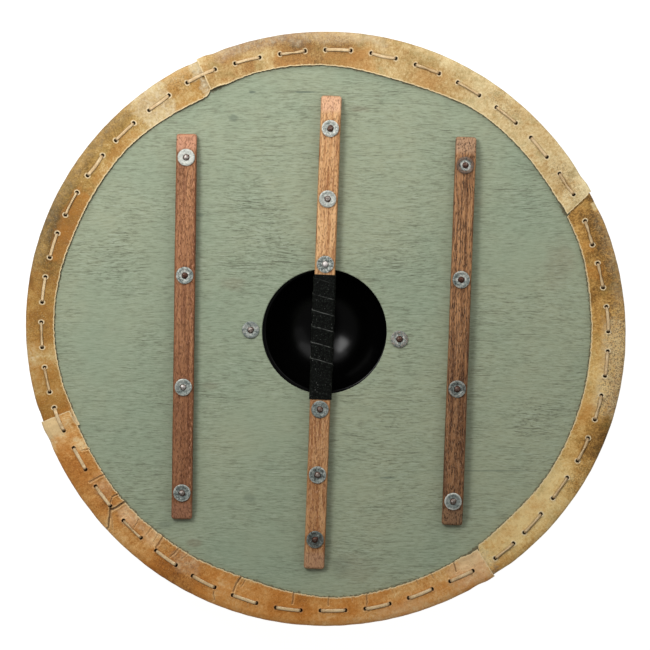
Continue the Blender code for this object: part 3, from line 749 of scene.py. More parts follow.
# rawhide strips folded over the edge
# cut: radius of the cut edge at even steps. trims: from angle to angle, a corner cut away under another strip
# tones: pale to dark. ring, rough, mottle, moss: strength of the holes' pale lips, the relief and the marks
# outer, inner: how much darker (or, below 0, paler) the two halves of the width are, at even steps
# lifts: angle, half width in degrees and height of each place where the cut edge curls up
# patches: from and to angle, from and to inset in mm from the outer edge, strength
# creases: half width in mm, strength, then (angle, inset in mm) from point to point
strips = {
    "top": {
        "slot": "golden_rawhide", "start": 25.2, "end": 115.7, "onTop": True, "slant": (2.1, 0.0),
        "cut": (0.2706, 0.2702, 0.2706, 0.2702, 0.2655, 0.2640, 0.2674, 0.2696, 0.2705, 0.2682),
        "tones": ((230, 212, 164), (216, 192, 142), (194, 160, 104), (162, 122, 68), (110, 80, 44)),
        "orange": (196, 138, 72), "bloom": (212, 196, 176), "tone": 0.44, "ring": 0.65, "rough": 0.8,
        "mottle": 0.8, "moss": 0.4,
        "outer": (-1.00, -0.22, -0.22, -0.42, -0.22, 0.16, 0.10, 0.72, 0.95, -0.20),
        "inner": (-0.50, -0.45, -0.22, -0.50, 0.42, 0.00, 0.68, 0.82, 0.35, 0.45),
        "lifts": ((78, 5, 1.0), (114, 4, 1.2), (30, 3, 0.5), (97, 4, 0.4)),
        "patches": {
            "stain": (
                (47, 55, 2, 14, 0.25), (34, 38, 22, 34, 0.3), (92.5, 97, 8, 24, 0.3),
                (104.5, 109, 18, 36, 0.3), (109, 113, 4, 14, 0.25), (84, 90, 10, 24, 0.25),
                (29, 33.6, 12, 36, 0.45),
            ),
            "blush": (
                (63, 71, 16, 44, 0.5), (79, 91, 14, 42, 0.6), (92, 101, 14, 40, 0.5),
                (105, 116, 6, 30, 0.3), (37, 42, 26, 36, 0.3),
            ),
            "bloom": (
                (78, 112, 0, 11, 0.4),
            ),
            "pale": (
                (100.5, 104.5, 12, 40, 0.45),
            ),
            "speck": (
                (27, 36, 6, 26, 0.5), (47, 56, 2, 18, 0.4), (84, 98, 2, 20, 0.5),
            ),
        },
        "creases": (),
    },
    "left": {
        "slot": "brown_rawhide", "start": 114.1, "end": 201.3, "onTop": False, "slant": (0.0, 0.0),
        "cut": (0.2650, 0.2684, 0.2729, 0.2738, 0.2742, 0.2766, 0.2771, 0.2745, 0.2694),
        "trims": ((117.6, 115.9),),
        "tones": ((226, 212, 174), (208, 182, 126), (178, 140, 74), (136, 104, 48), (88, 68, 34)),
        "orange": (182, 120, 46), "bloom": (214, 197, 166), "tone": 0.5, "ring": 0.85, "rough": 1.0,
        "mottle": 0.7, "moss": 0.25,
        "outer": (-0.70, -0.14, 0.26, 0.16, 0.76, 0.36, 0.00, -0.16, 0.58),
        "inner": (0.32, 0.00, -0.26, -0.10, 1.05, 0.64, 0.34, 0.14, 0.50),
        "lifts": ((120, 4, 0.9), (136, 5, 0.5), (150, 6, 0.7), (166, 5, 0.6), (183, 5, 0.4)),
        "patches": {
            "bloom": (
                (115.4, 117.4, 0, 44, 1.0), (124, 131.5, 0, 38, 0.65), (131, 168, 0, 10, 0.12),
                (197.4, 201.3, 30, 42, 0.7),
            ),
            "blush": (
                (117.3, 124, 0, 42, 0.6), (133, 148, 22, 34, 0.5), (150, 166, 14, 36, 0.9),
                (171.4, 178.6, 0, 18, 0.5), (166, 178, 20, 34, 0.5), (186, 201.3, 0, 44, 0.75),
                (168, 186, 0, 40, 0.6),
            ),
            "pale": (
                (124, 131, 0, 36, 0.25), (118.6, 123, 0, 40, 0.3), (183, 188, 0, 40, 0.5),
                (192.4, 193.6, 12, 36, 0.5), (197.4, 201.3, 30, 42, 1.6),
            ),
            "stain": (
                (126, 146, 8, 24, 0.35), (134, 137, 4, 14, 0.25), (169.6, 172, 0, 5, 0.8),
                (175.6, 180, 3, 14, 0.35), (194, 198, 0, 12, 0.3), (137.5, 143, 0, 30, 0.4),
            ),
            "speck": (
                (117, 123, 4, 24, 0.5), (131, 138, 0, 12, 0.4), (148, 172, 0, 20, 0.25),
                (176, 183, 0, 20, 0.3),
            ),
        },
        "creases": (),
    },
    "bottom": {
        "slot": "orange_rawhide", "start": 197.6, "end": 304.6, "onTop": True, "slant": (0.6, 0.3),
        "cut": (0.2716, 0.2706, 0.2708, 0.2694, 0.2688, 0.2670, 0.2704, 0.2743, 0.2727, 0.2717, 0.2708),
        "tones": ((234, 202, 148), (218, 166, 100), (192, 130, 62), (154, 96, 40), (94, 54, 26)),
        "orange": (200, 124, 46), "bloom": (238, 196, 152), "tone": 0.41, "ring": 0.1, "rough": 1.9,
        "mottle": 0.65, "moss": 0.0,
        "outer": (-0.70, 0.40, -0.26, -0.10, 0.40, -0.26, -0.22, -0.46, -0.42, -0.42, -0.50),
        "inner": (-0.20, 0.20, 0.35, 0.05, 0.40, -0.22, 0.08, 0.05, -0.20, -0.35, -0.90),
        "lifts": ((222, 6, 0.5), (252, 5, 0.4), (300, 4, 0.5)),
        "patches": {
            "pale": (
                (197.0, 203.0, 0, 17, 0.9), (198, 203.5, 14, 30, 0.4), (203.6, 206.6, 19, 34, 0.9),
                (221.2, 224.6, 22, 36, 0.5), (230.2, 231.8, 20, 36, 0.6), (246.4, 249, 12, 36, 0.5),
                (283, 286.6, 5, 9, 0.9), (299.4, 302, 14, 34, 0.5),
            ),
            "stain": (
                (207, 213, 4, 20, 0.25), (233.5, 238.5, 0, 16, 0.5), (272, 277, 8, 22, 0.3),
                (243, 247, 8, 20, 0.25), (258.5, 262, 8, 22, 0.4), (264.4, 266.2, 0, 30, 0.45),
                (201, 201.9, 30, 40, 0.9), (216, 219, 0, 14, 0.2),
            ),
            "blush": (
                (202, 213, 0, 26, 0.5), (243, 266, 0, 36, 0.65), (266, 284, 0, 36, 0.7),
                (262, 304, 0, 22, 0.7), (232, 238, 0, 22, 0.6),
            ),
            "bloom": (
                (221.2, 226, 19, 36, 1.1), (226, 232, 20, 36, 0.6), (213.6, 217, 16, 36, 0.5),
                (236.6, 242, 16, 36, 0.6), (280, 290, 0, 14, 0.3), (297, 304.6, 2, 36, 0.8),
            ),
            "speck": (
                (218, 228, 18, 36, 0.2), (233, 242, 4, 30, 0.4),
            ),
        },
        "creases": (
            (0.7, 0.7, (213.3, 36), (213.2, 25), (213.0, 16.5)),
            (0.5, 0.8, (218.6, 33), (218.2, 26.4), (218.7, 22.6), (219.2, 18.6)),
            (1.0, 1.0, (220.8, 36), (220.5, 24), (220.3, 18.7), (219.9, 17.7)),
            (0.9, 1.0, (219.9, 17.7), (220.6, 13.5), (222.3, 3.6), (222.4, 0)),
            (0.4, 0.5, (220.3, 15.5), (221.5, 12), (223.3, 5), (223.7, 0.5)),
            (0.5, 0.4, (225.6, 31), (226.0, 21.7)), (0.6, 0.4, (228.9, 35), (229.0, 24.6)),
            (0.8, 0.6, (231.8, 36), (232.2, 24.5), (232.2, 20.5)), (0.4, 0.35, (230.6, 35), (231.1, 24)),
            (0.6, 0.6, (236.3, 36), (236.0, 27), (235.7, 22)), (0.5, 0.4, (238.5, 34), (238.0, 26)),
            (0.7, 0.8, (251.3, 38), (250.7, 28.4), (250.6, 18.8)), (0.5, 0.4, (252.3, 34), (251.8, 26)),
            (0.5, 0.6, (246.9, 11.5), (247.8, 3)), (0.6, 0.7, (263.1, 36), (263.1, 21)),
            (0.5, 0.6, (270.7, 36), (270.5, 21)), (0.4, 0.4, (275.7, 33), (275.6, 24)),
            (0.6, 0.6, (279.0, 36), (278.6, 22), (278.3, 14)), (0.4, 0.5, (289.7, 36), (289.9, 26)),
            (0.5, 0.5, (293.2, 36), (293.4, 26)), (0.6, 0.7, (298.8, 36), (298.3, 23.4)),
            (0.5, 0.5, (207.0, 33), (206.5, 26)), (0.4, 0.3, (253.8, 16), (254.4, 8)),
            (0.3, 0.3, (284.0, 30), (284.5, 22)),
        ),
    },
    "right": {
        "slot": "mottled_rawhide", "start": 303.0, "end": 388.0, "onTop": False, "slant": (0.0, 0.0),
        "cut": (0.2705, 0.2688, 0.2708, 0.2710, 0.2710, 0.2710, 0.2709, 0.2724, 0.2706),
        "trims": ((305.4, 304.6), (384.7, 385.4)),
        "tones": ((236, 208, 146), (222, 184, 116), (194, 146, 76), (142, 102, 46), (82, 58, 30)),
        "orange": (200, 134, 56), "bloom": (216, 198, 162), "tone": 0.46, "ring": 0.85, "rough": 1.2,
        "mottle": 0.8, "moss": 0.3,
        "outer": (-0.50, -0.48, -0.70, 0.00, 0.26, -0.28, 0.32, 0.55, 0.10),
        "inner": (-1.15, -1.00, -0.96, -0.22, -0.40, -0.36, 0.38, 0.30, 0.10),
        "lifts": ((310, 4, 0.6), (327, 5, 0.5), (350, 6, 0.4), (368, 5, 0.5)),
        "patches": {
            "stain": (
                (304, 309.5, 0, 10, 0.3), (326, 328.6, 0, 14, 0.35), (334, 342.4, 0, 24, 0.6),
                (367, 372, 0, 14, 0.3), (376, 384, 6, 20, 0.3), (385.2, 386.6, 0, 8, 0.9),
                (306, 308.4, 24, 34, 0.5), (304, 305.6, 0, 8, 1.4),
            ),
            "blush": (
                (312, 318, 20, 36, 0.3), (338.6, 345.4, 22, 36, 0.6), (371, 373.6, 14, 36, 0.7),
                (376, 378.4, 18, 36, 0.6), (305, 322, 16, 38, 0.3), (304, 310, 0, 14, 0.4),
                (306, 308.4, 24, 34, 0.5),
            ),
            "bloom": (
                (355, 383, 0, 11, 0.3), (343, 362, 0, 24, 0.8), (383.6, 385.2, 0, 5, 0.8),
                (304, 305.4, 0, 26, 0.8),
            ),
            "pale": (
                (383.6, 385.2, 0, 5, 1.2),
            ),
            "speck": (
                (343, 366, 0, 20, 0.8), (370, 385, 2, 18, 0.8), (326, 340, 0, 16, 0.5),
                (304, 306, 0, 36, 0.3),
            ),
        },
        "creases": (),
    },
}
fold = {
    "radius": 0.0034,
    "holeBand": (0.0133, 0.0221),  # inset of the finer rows that the holes are punched through
    "slantReach": 0.036,  # inset at which a slanted end is back at its own angle
    "crown": 0.0008, "crownReach": 0.012,  # the skin slopes down towards the fold
    "step": 0.00112, "fineStep": 0.00046,  # along the edge, and beside a crease
    "frontReach": 0.031,
    "holeAcross": 0.0015, "holeOut": 0.0018,  # half sizes of a punched hole
    "ring": 0.00045,  # height of the lip that the punch raised
    "curl": 0.0011,
    "innerRows": 13,
}
skinLayers = (
    "shade", "blush", "bloom", "speck", "holeAway", "laceAway", "edgeAway", "creaseAway", "creaseDepth",
    "around", "across",
)


def makeHideSkin(name, spec):
    material, shader, start = newMaterial(name, roughness=0.5, specular=0.2)
    place = start.node("TexCoord", out="Object")
    shade, blush, bloom, speck, hole, lacing, edge, creaseAway, creaseDepth, around, across = (
        start.layer(name) for name in skinLayers
    )
    unrolled = start.node("CombineXYZ", inputs={0: around, 1: across})  # along the edge and in from it
    cloud = place.noise(30.0, 3.0, 0.55)
    blot = place.moved((3.1, 5.7, 1.3)).noise(95.0, 4.0, 0.62)
    streak = unrolled.stretched(330.0, 55.0, 1.0).noise(1.0, 3.0, 0.6)
    hair = unrolled.stretched(1300.0, 260.0, 1.0).noise(1.0, 2.0, 0.6)
    fine = place.noise(360.0, 3.0, 0.62)
    grain = place.noise(950.0, 2.0, 0.6)
    dots = place.moved((0.7, 0.3, 0.1)).noise(700.0, 2.0, 0.6)
    spots = place.moved((0.2, 0.9, 0.4)).noise(190.0, 3.0, 0.6)
    pith = place.moved((0.6, 0.4, 0.8)).noise(560.0, 2.0, 0.6)
    moss = place.moved((1.6, 2.4, 0.8)).noise(62.0, 4.0, 0.6)
    # one tone from pale to dark, so that neighbouring shades run into each other
    detail = (spots - 0.5) * 0.4 + (fine - 0.5) * 0.6 + (pith - 0.5) * 0.65
    detail = detail + (grain - 0.5) * 0.4 + (hair - 0.5) * 0.45
    tone = spec["tone"] + (cloud - 0.5) * 0.45 + (blot - 0.5) * 0.5 + (streak - 0.5) * 0.3
    tone = tone + detail * spec["mottle"] + shade * 0.42
    skin = tone.shades(*zip((0.0, 0.25, 0.5, 0.75, 1.0), spec["tones"]))
    skin = (moss.band(0.48, 0.72) * spec["moss"]).over(skin, (128, 116, 62))
    warm = (blush * (0.35 + cloud * 0.8) + (blot - 0.62) * 0.9).low(0.8).top(0.0)
    skin = warm.over(skin, spec["orange"])
    powder = (bloom * (0.2 + blot * 0.6 + (dots - 0.5) * 1.2 + (spots - 0.5) * 1.4)).low(0.9).top(0.0)
    skin = powder.over(skin, spec["bloom"])
    skin = (bloom * spots.band(0.50, 0.62) * 0.5).low(0.7).over(skin, spec["tones"][0])
    specks = fine.band(0.60, 0.70) * 0.2 + grain.band(0.60, 0.70) * 0.2 + dots.band(0.47, 0.62) * speck * 0.85
    skin = specks.low(0.8).over(skin, spec["tones"][4])
    skin = (grain.band(0.40, 0.30) * 0.25).over(skin, spec["tones"][0])
    ringTone = (hole + (fine - 0.5) * 0.6).band(2.05, 1.6) * hole.band(1.0, 1.25) * spec["ring"]
    skin = ringTone.over(skin, (232, 212, 172))
    # painted shade: the skin is painted dark brown round the edge of each punched hole
    skin = (hole.band(1.35, 1.0) * (0.95 - 0.3 * spec["ring"])).over(skin, (56, 32, 16))
    # the skin is painted darker round the fold
    skin = (across.band(-0.0016, -0.0036) * 0.25).over(skin, (104, 88, 70))
    raw = (edge + (fine - 0.5) * 0.0018).band(0.0015, 0.0005)
    skin = (raw * 0.75).over(skin, (236, 214, 168))
    # the skin beside each stitch is painted darker: dirt and painted shade under the lace
    skin = (lacing.band(1.6, 0.4) * 0.35).over(skin, spec["tones"][4])
    # creases: paler lips as a painted highlight on the raised skin, and dark brown valleys as painted shade
    # with dirt in the splits
    lip = (creaseAway + (fine - 0.5) * 2.4).band(3.2, 1.8) * creaseDepth
    skin = (lip * 0.45).over(skin, spec["tones"][0])
    split = (creaseAway + (fine - 0.5) * 0.9).band(1.3, 0.6) * creaseDepth
    creaseTone = creaseDepth.band(0.55, 0.9).over((112, 60, 20), (52, 24, 6))
    skin = (split * (0.1 + blot * 1.5)).low(0.95).over(skin, creaseTone)
    height = cloud * 0.5 + blot * 0.35 + streak * 0.2 + fine * 0.24 + grain * 0.08 + hair * 0.06 - split * 0.5
    finishMaterial(start, shader, skin, 0.45 + fine * 0.2 + shade * 0.04, height, 0.0010)
    return material


def cutRadius(spec, degrees):  # where a strip was cut off on the back
    along = (degrees - spec["start"]) / (spec["end"] - spec["start"])
    cut = curveThrough(spec["cut"], along)
    ragged = 0.0003 * ripple(degrees * 4.7, 4.5) + 0.0002 * ripple(degrees * 13, 8.5)
    cut += 0.00045 * ripple(degrees * 1.9, 0.5) + spec["rough"] * ragged
    for shown, hidden in spec.get("trims", ()):  # corners trimmed where another strip lies over them
        share = min(max((degrees - shown) / (hidden - shown), 0.0), 1.0)
        cut += 0.0050 * share * share
    return cut


def cutOver(degrees):  # the visible cut at an angle
    for spec in sorted(strips.values(), key=lambda spec: not spec["onTop"]):
        for at in (degrees, degrees + 360):
            if spec["start"] <= at <= spec["end"]:
                return cutRadius(spec, at)


def stripEdges(spec, inset):  # start and end angle of a strip at a distance in from the outline
    share = min(max(1 - inset / fold["slantReach"], 0.0), 1.0)
    ragged = 0.10 * ripple(inset * 420, spec["start"]) + 0.05 * ripple(inset * 1500, spec["start"] + 9)
    start = spec["start"] + (spec["slant"][0] * share if spec["onTop"] else 0.0) - ragged
    end = spec["end"] - (spec["slant"][1] * share if spec["onTop"] else 0.0) + ragged
    return start, end


def climbShare(inside):  # 1 at the end of a strip on top, 0 where it lies on the board
    return (1 - ease(inside, *shield["climb"])) ** 1.3


def stripLift(spec, degrees, start, end):  # a strip on top climbs over its neighbours' ends
    if not spec["onTop"]:
        return 0.0
    inside = min(degrees - start, end - degrees)
    return ride * climbShare(inside)


def patchAmount(patches, kind, degrees, inset):
    amount = 0.0
    wobble = 1.5 * ripple(degrees * 0.8, inset * 0.17, 3.3) + 0.7 * ripple(degrees * 2.4, inset * 0.45, 7.7)
    reach = 4.5 * ripple(degrees * 0.35, inset * 0.07, 5.1) + 1.6 * ripple(degrees * 1.3, inset * 0.3, 2.1)
    for low, high, near, far, strength in patches.get(kind, ()):
        if not low - 4 < degrees < high + 4:
            continue
        soft = min(1.6, (high - low) * 0.45)
        at = degrees + wobble
        across = ease(at, low - soft, low + soft) * (1 - ease(at, high - soft, high + soft))
        out = ease(inset + reach, near - 4, near + 4) if near > 0 else 1.0
        into = 1 - ease(inset + reach, far - 4, far + 4)
        amount = max(amount, strength * across * out * into)
    return amount


def creaseAt(creases, degrees, inset, radius):  # the nearest: distance in half widths, depth, distance in mm
    nearest, depth, aside = 4.0, 0.0, 9.0
    scale = math.radians(1) * radius * 1000
    bent = degrees + 0.12 * ripple(inset * 0.35, degrees * 0.2) + 0.05 * ripple(inset * 1.1, degrees * 0.2)
    here = Vector((bent * scale, inset))
    for half, strength, *points in creases:
        if abs(degrees - points[0][0]) > 4.5:
            continue
        for number, (first, second) in enumerate(zip(points, points[1:])):
            start = Vector((first[0] * scale, first[1]))
            run = Vector((second[0] * scale, second[1])) - start
            along = min(max((here - start).dot(run) / run.length_squared, 0.0), 1.0)
            away = (here - start - run * along).length
            if away / half < nearest:
                spent = (number + along) / (len(points) - 1)
                nearest, depth, aside = away / half, strength * (1 - 0.2 * spent), away
    return nearest, depth, aside


def columnAngles(spec):  # even steps along the edge, finer beside the creases
    angles, at = [spec["end"]], spec["end"]
    reaches = [[angle for angle, _ in crease[2:]] for crease in spec["creases"]]
    spans = [(min(reach) - 0.35, max(reach) + 0.35) for reach in reaches]
    while at > spec["start"]:
        step = fold["fineStep"] if any(low < at < high for low, high in spans) else fold["step"]
        at -= math.degrees(step / shield["radius"])
        angles.append(max(at, spec["start"]))
    return angles


def makeHide(side, spec):
    radius, hide = fold["radius"], shield["hide"]
    back, front = boardBack + gap + hide, boardFront - gap - hide
    quarter = math.pi * radius / 2
    wall = back - front - 2 * radius
    frontStart = 2 * quarter + wall

    def placeAcross(q, lift):  # inset, height and outward normal at a distance across the hide from the fold
        if q <= 0:
            return radius - q - lift, back + lift, 0.0, 1.0
        if q < quarter:
            a = q / radius
            height = back + lift - radius * (1 - math.cos(a))
            return radius * (1 - math.sin(a)) - lift, height, math.sin(a), math.cos(a)
        if q < quarter + wall:
            share = (q - quarter) / wall
            return -lift, back + lift - radius - share * (wall + 2 * lift), 1.0, 0.0
        if q < frontStart:
            a = (q - quarter - wall) / radius
            height = front - lift + radius * (1 - math.sin(a))
            return radius * (1 - math.cos(a)) - lift, height, math.cos(a), -math.sin(a)
        return radius + q - frontStart - lift, front - lift, 0.0, -1.0

    def spaced(low, high, count):
        return [low + (high - low) * k / count for k in range(count)]

    innerRows = fold["innerRows"]
    bandLow, bandHigh = fold["holeBand"]
    rows = spaced(radius - bandHigh, radius - bandLow, 16) + spaced(radius - bandLow, 0.0, 9)
    rows += spaced(0.0, quarter, 5) + spaced(quarter, quarter + wall, 4)
    rows += spaced(quarter + wall, frontStart, 5)
    insets = (bandLow, bandHigh, fold["frontReach"])
    frontLow, frontHigh, frontEnd = (frontStart + inset - radius for inset in insets)
    rows += spaced(frontStart, frontLow, 4) + spaced(frontLow, frontHigh, 9) + spaced(frontHigh, frontEnd, 4)
    rows.append(frontEnd)
    rowCount = innerRows + len(rows) - 1
    angles = columnAngles(spec)
    columns = len(angles) - 1
    twice = [(angle + turn, r) for angle, r in punched for turn in (0, 360)]
    holes = sorted((angle, r) for angle, r in twice if spec["start"] < angle < spec["end"])
    bm = bmesh.new()
    layers = {name: bm.verts.layers.float.new(name) for name in skinLayers}
    bmesh.ops.create_grid(bm, x_segments=columns, y_segments=rowCount, size=1.0)
    opened = []
    places = {}
    for vert in bm.verts:
        places.setdefault(gridSteps(vert, columns, rowCount)[0], []).append(vert)
    for column in sorted(places):
        rough = angles[column]
        along = (rough - spec["start"]) / (spec["end"] - spec["start"])
        outline = outlineAt(rough) + 0.00022 * ripple(rough * 0.6, 2.5) - 0.0002 - pressedIn(rough)
        cutInset = outline - cutRadius(spec, rough)
        near = [h for h in holes if abs(h[0] - rough) < 1.6]
        stitchesNear = [
            (a + t, b + t) for a, b in stitches for t in (0, 360) if a + t - 3 < rough < b + t + 3
        ]
        outer, inner = curveThrough(spec["outer"], along), curveThrough(spec["inner"], along)
        curl = sum(size * hump(rough - middle, width) for middle, width, size in spec["lifts"])
        curl = fold["curl"] * max(0.18 + curl + 0.25 * ripple(rough * 0.8, 6.5), 0.0)
        for vert in places[column]:
            row = gridSteps(vert, columns, rowCount)[1]
            if row < innerRows:
                cutQ = radius - cutInset
                q = cutQ + (rows[0] - cutQ) * row / innerRows
            else:
                q = rows[row - innerRows]
            flatInset = radius - q if q < 0 else 0.0 if q < frontStart else radius + q - frontStart
            startAt, endAt = stripEdges(spec, flatInset)
            degrees = startAt + along * (endAt - startAt)
            lift = stripLift(spec, degrees, startAt, endAt)
            inset, height, outward, upward = placeAcross(q, lift)
            spotRadius = outline - inset
            away, towards = 6.0, None  # to the nearest punched hole, in hole radii
            for holeAngle, holeRadius in near:
                sideways = math.radians(degrees - holeAngle) * spotRadius
                out = spotRadius - holeRadius
                distance = math.hypot(sideways / fold["holeAcross"], out / fold["holeOut"])
                if distance < away:
                    away, towards = distance, (sideways, out, holeAngle, holeRadius)
            edgeAway = min(max(q - (radius - cutInset), 0.0), 0.02)
            if spec["onTop"]:
                fromEnd = math.radians(min(degrees - startAt, endAt - degrees)) * spotRadius
                edgeAway = min(edgeAway, max(fromEnd, 0.0))
            insetMm = flatInset * 1000
            beside = 9.0  # mm from the side of the nearest stitch
            for start, end in stitchesNear:
                if start - 0.15 < degrees < end + 0.15 and q < 0:
                    beside = abs(spotRadius - stitchRadius(degrees)) * 1000 - 1.0
            creases = spec["creases"] if q < quarter else ()
            split, depth, aside = creaseAt(creases, degrees, insetMm, spotRadius)
            bulge = depth * (0.0005 * hump(aside - 2.0, 1.4) - 0.0009 * hump(aside, 0.8))
            # shape of the skin: slow waves, the punch's lips and the curl of the cut edge
            waves = 0.00016 * (1 + ripple(degrees * 0.55, insetMm * 0.09))
            waves += 0.00012 * ripple(degrees * 1.9, insetMm * 0.33)
            rise = spec["rough"] * waves
            if upward > 0.5:
                rise += fold["ring"] * hump(away - 1.45, 0.45) - 0.00025 * hump(away - 0.9, 0.35)
                rise += curl * (1 - ease(edgeAway, 0.0, 0.009)) ** 2
            rise += bulge
            down = fold["crown"] * max(1 - flatInset / fold["crownReach"], 0.0) ** 2
            vert.co = polar(spotRadius + rise * outward * 0.3, degrees, height + (rise - down) * upward)
            vert[layers["holeAway"]] = away
            vert[layers["edgeAway"]] = edgeAway
            vert[layers["laceAway"]] = beside
            vert[layers["creaseAway"]], vert[layers["creaseDepth"]] = split, depth
            vert[layers["around"]] = math.radians(degrees) * shield["radius"]
            vert[layers["across"]] = -q
            if q < frontStart:
                kinds = ("stain", "pale", "blush", "bloom", "speck")
                amounts = {kind: patchAmount(spec["patches"], kind, degrees, insetMm) for kind in kinds}
                shade = outer + (inner - outer) * ease(insetMm, 5, 17)
                vert[layers["shade"]] = shade + amounts["stain"] - amounts["pale"]
                for kind in ("blush", "bloom", "speck"):
                    vert[layers[kind]] = amounts[kind]
            if away < 1.7 and q < 0:  # the awl's holes stay shut round the lace on the front
                opened.append((vert, away, towards))
    middles = [vert for vert, away, _ in opened if away < 0.72]
    bmesh.ops.delete(bm, geom=middles, context="VERTS")
    for vert, away, (sideways, out, holeAngle, holeRadius) in opened:
        if vert.is_valid and vert.is_boundary and away > 0.1:
            snapped = holeRadius + out / away
            vert.co = polar(snapped, holeAngle + math.degrees(sideways / away / snapped), vert.co.z)
            vert[layers["holeAway"]] = 1.0
    piece = addPiece(side + "_hide", bm, makeHideSkin(spec["slot"], spec), [side + "_rim"], 50)
    skin = piece.modifiers.new("skin", "SOLIDIFY")
    skin.thickness = hide
    skin.offset = -1.0
    bakeModifiers(piece, 50)
    print(side, "hide:", len(piece.data.polygons), "faces")


# lace: one hide thong in a running stitch
lace = {
    "width": 0.0031, "thickness": 0.0012,
    "around": 12,
    "bend": 0.0015,  # radius where it turns into a hole
    "tail": 1.7, "tailSlack": 0.6,  # degrees of each loose end on the front, and what is trimmed off it
    "backStep": 0.0007, "frontStep": 0.002,
    "lean": 0.0002,  # its clearance over the hide and inside its holes
    # how each stitch lies, in order round the disc: flat, wide, thin, half turned or finely twisted
    "kinds": "turned flat fine thin turned flat wide turned flat "
             "wide flat flat wide fine flat flat thin thin "
             "wide wide wide thin wide wide wide wide wide wide wide wide thin "
             "thin thin turned turned flat flat turned turned".split(),
    "sag": {0: -0.0012, 5: -0.0013, 12: -0.0011, 7: -0.0006},  # of the stitch's middle towards the centre
}
laceForms = {  # width, thickness, turns along the stitch, how dirty
    "flat": (0.95, 1.1, 0.0, 0.05), "wide": (1.1, 1.15, 0.0, 0.0), "thin": (0.78, 1.5, 0.5, 0.2),
    "turned": (0.95, 1.4, 0.5, 0.25),
    "fine": (0.8, 1.6, 3.5, 0.0),
}


def makeLaceHide():
    material, shader, start = newMaterial("lace_hide", roughness=0.6, specular=0.35)
    place = start.node("TexCoord", out="Object")
    coarse = place.noise(120.0, 4.0, 0.6)
    fine = place.noise(1400.0, 3.0, 0.6)
    deep = start.layer("deep")
    side = start.layer("side")
    colour = coarse.band(0.3, 0.7).over((210, 178, 130), (236, 212, 168))
    colour = (fine.band(0.48, 0.68) * 0.55).over(colour, (166, 124, 84))
    dirty = start.layer("dirty")
    colour = (dirty * (0.5 + coarse)).over(colour, (158, 126, 80))
    # painted shade and dirt: the thong is darker along its sides, next to the hide
    colour = (side * (0.25 + coarse * 0.5)).over(colour, (112, 78, 48))
    # painted shade: the thong darkens where it goes down into its hole
    colour = (deep * 0.85).over(colour, (92, 62, 42))
    finishMaterial(start, shader, colour, 0.5 + fine * 0.2, fine * 0.5 + coarse * 0.3, 0.0003)
    return material


def jointLift(degrees):  # what the strips on top add under the lace
    lift = 0.0
    for spec in strips.values():
        if spec["onTop"]:
            for turn in (0, 360):
                at = degrees + turn
                if spec["start"] - 0.8 < at < spec["end"] + 0.8:
                    inside = min(at - spec["start"], spec["end"] - at)
                    lift = max(lift, ride * ease(inside, -0.8, -0.1) * climbShare(inside))
    return lift


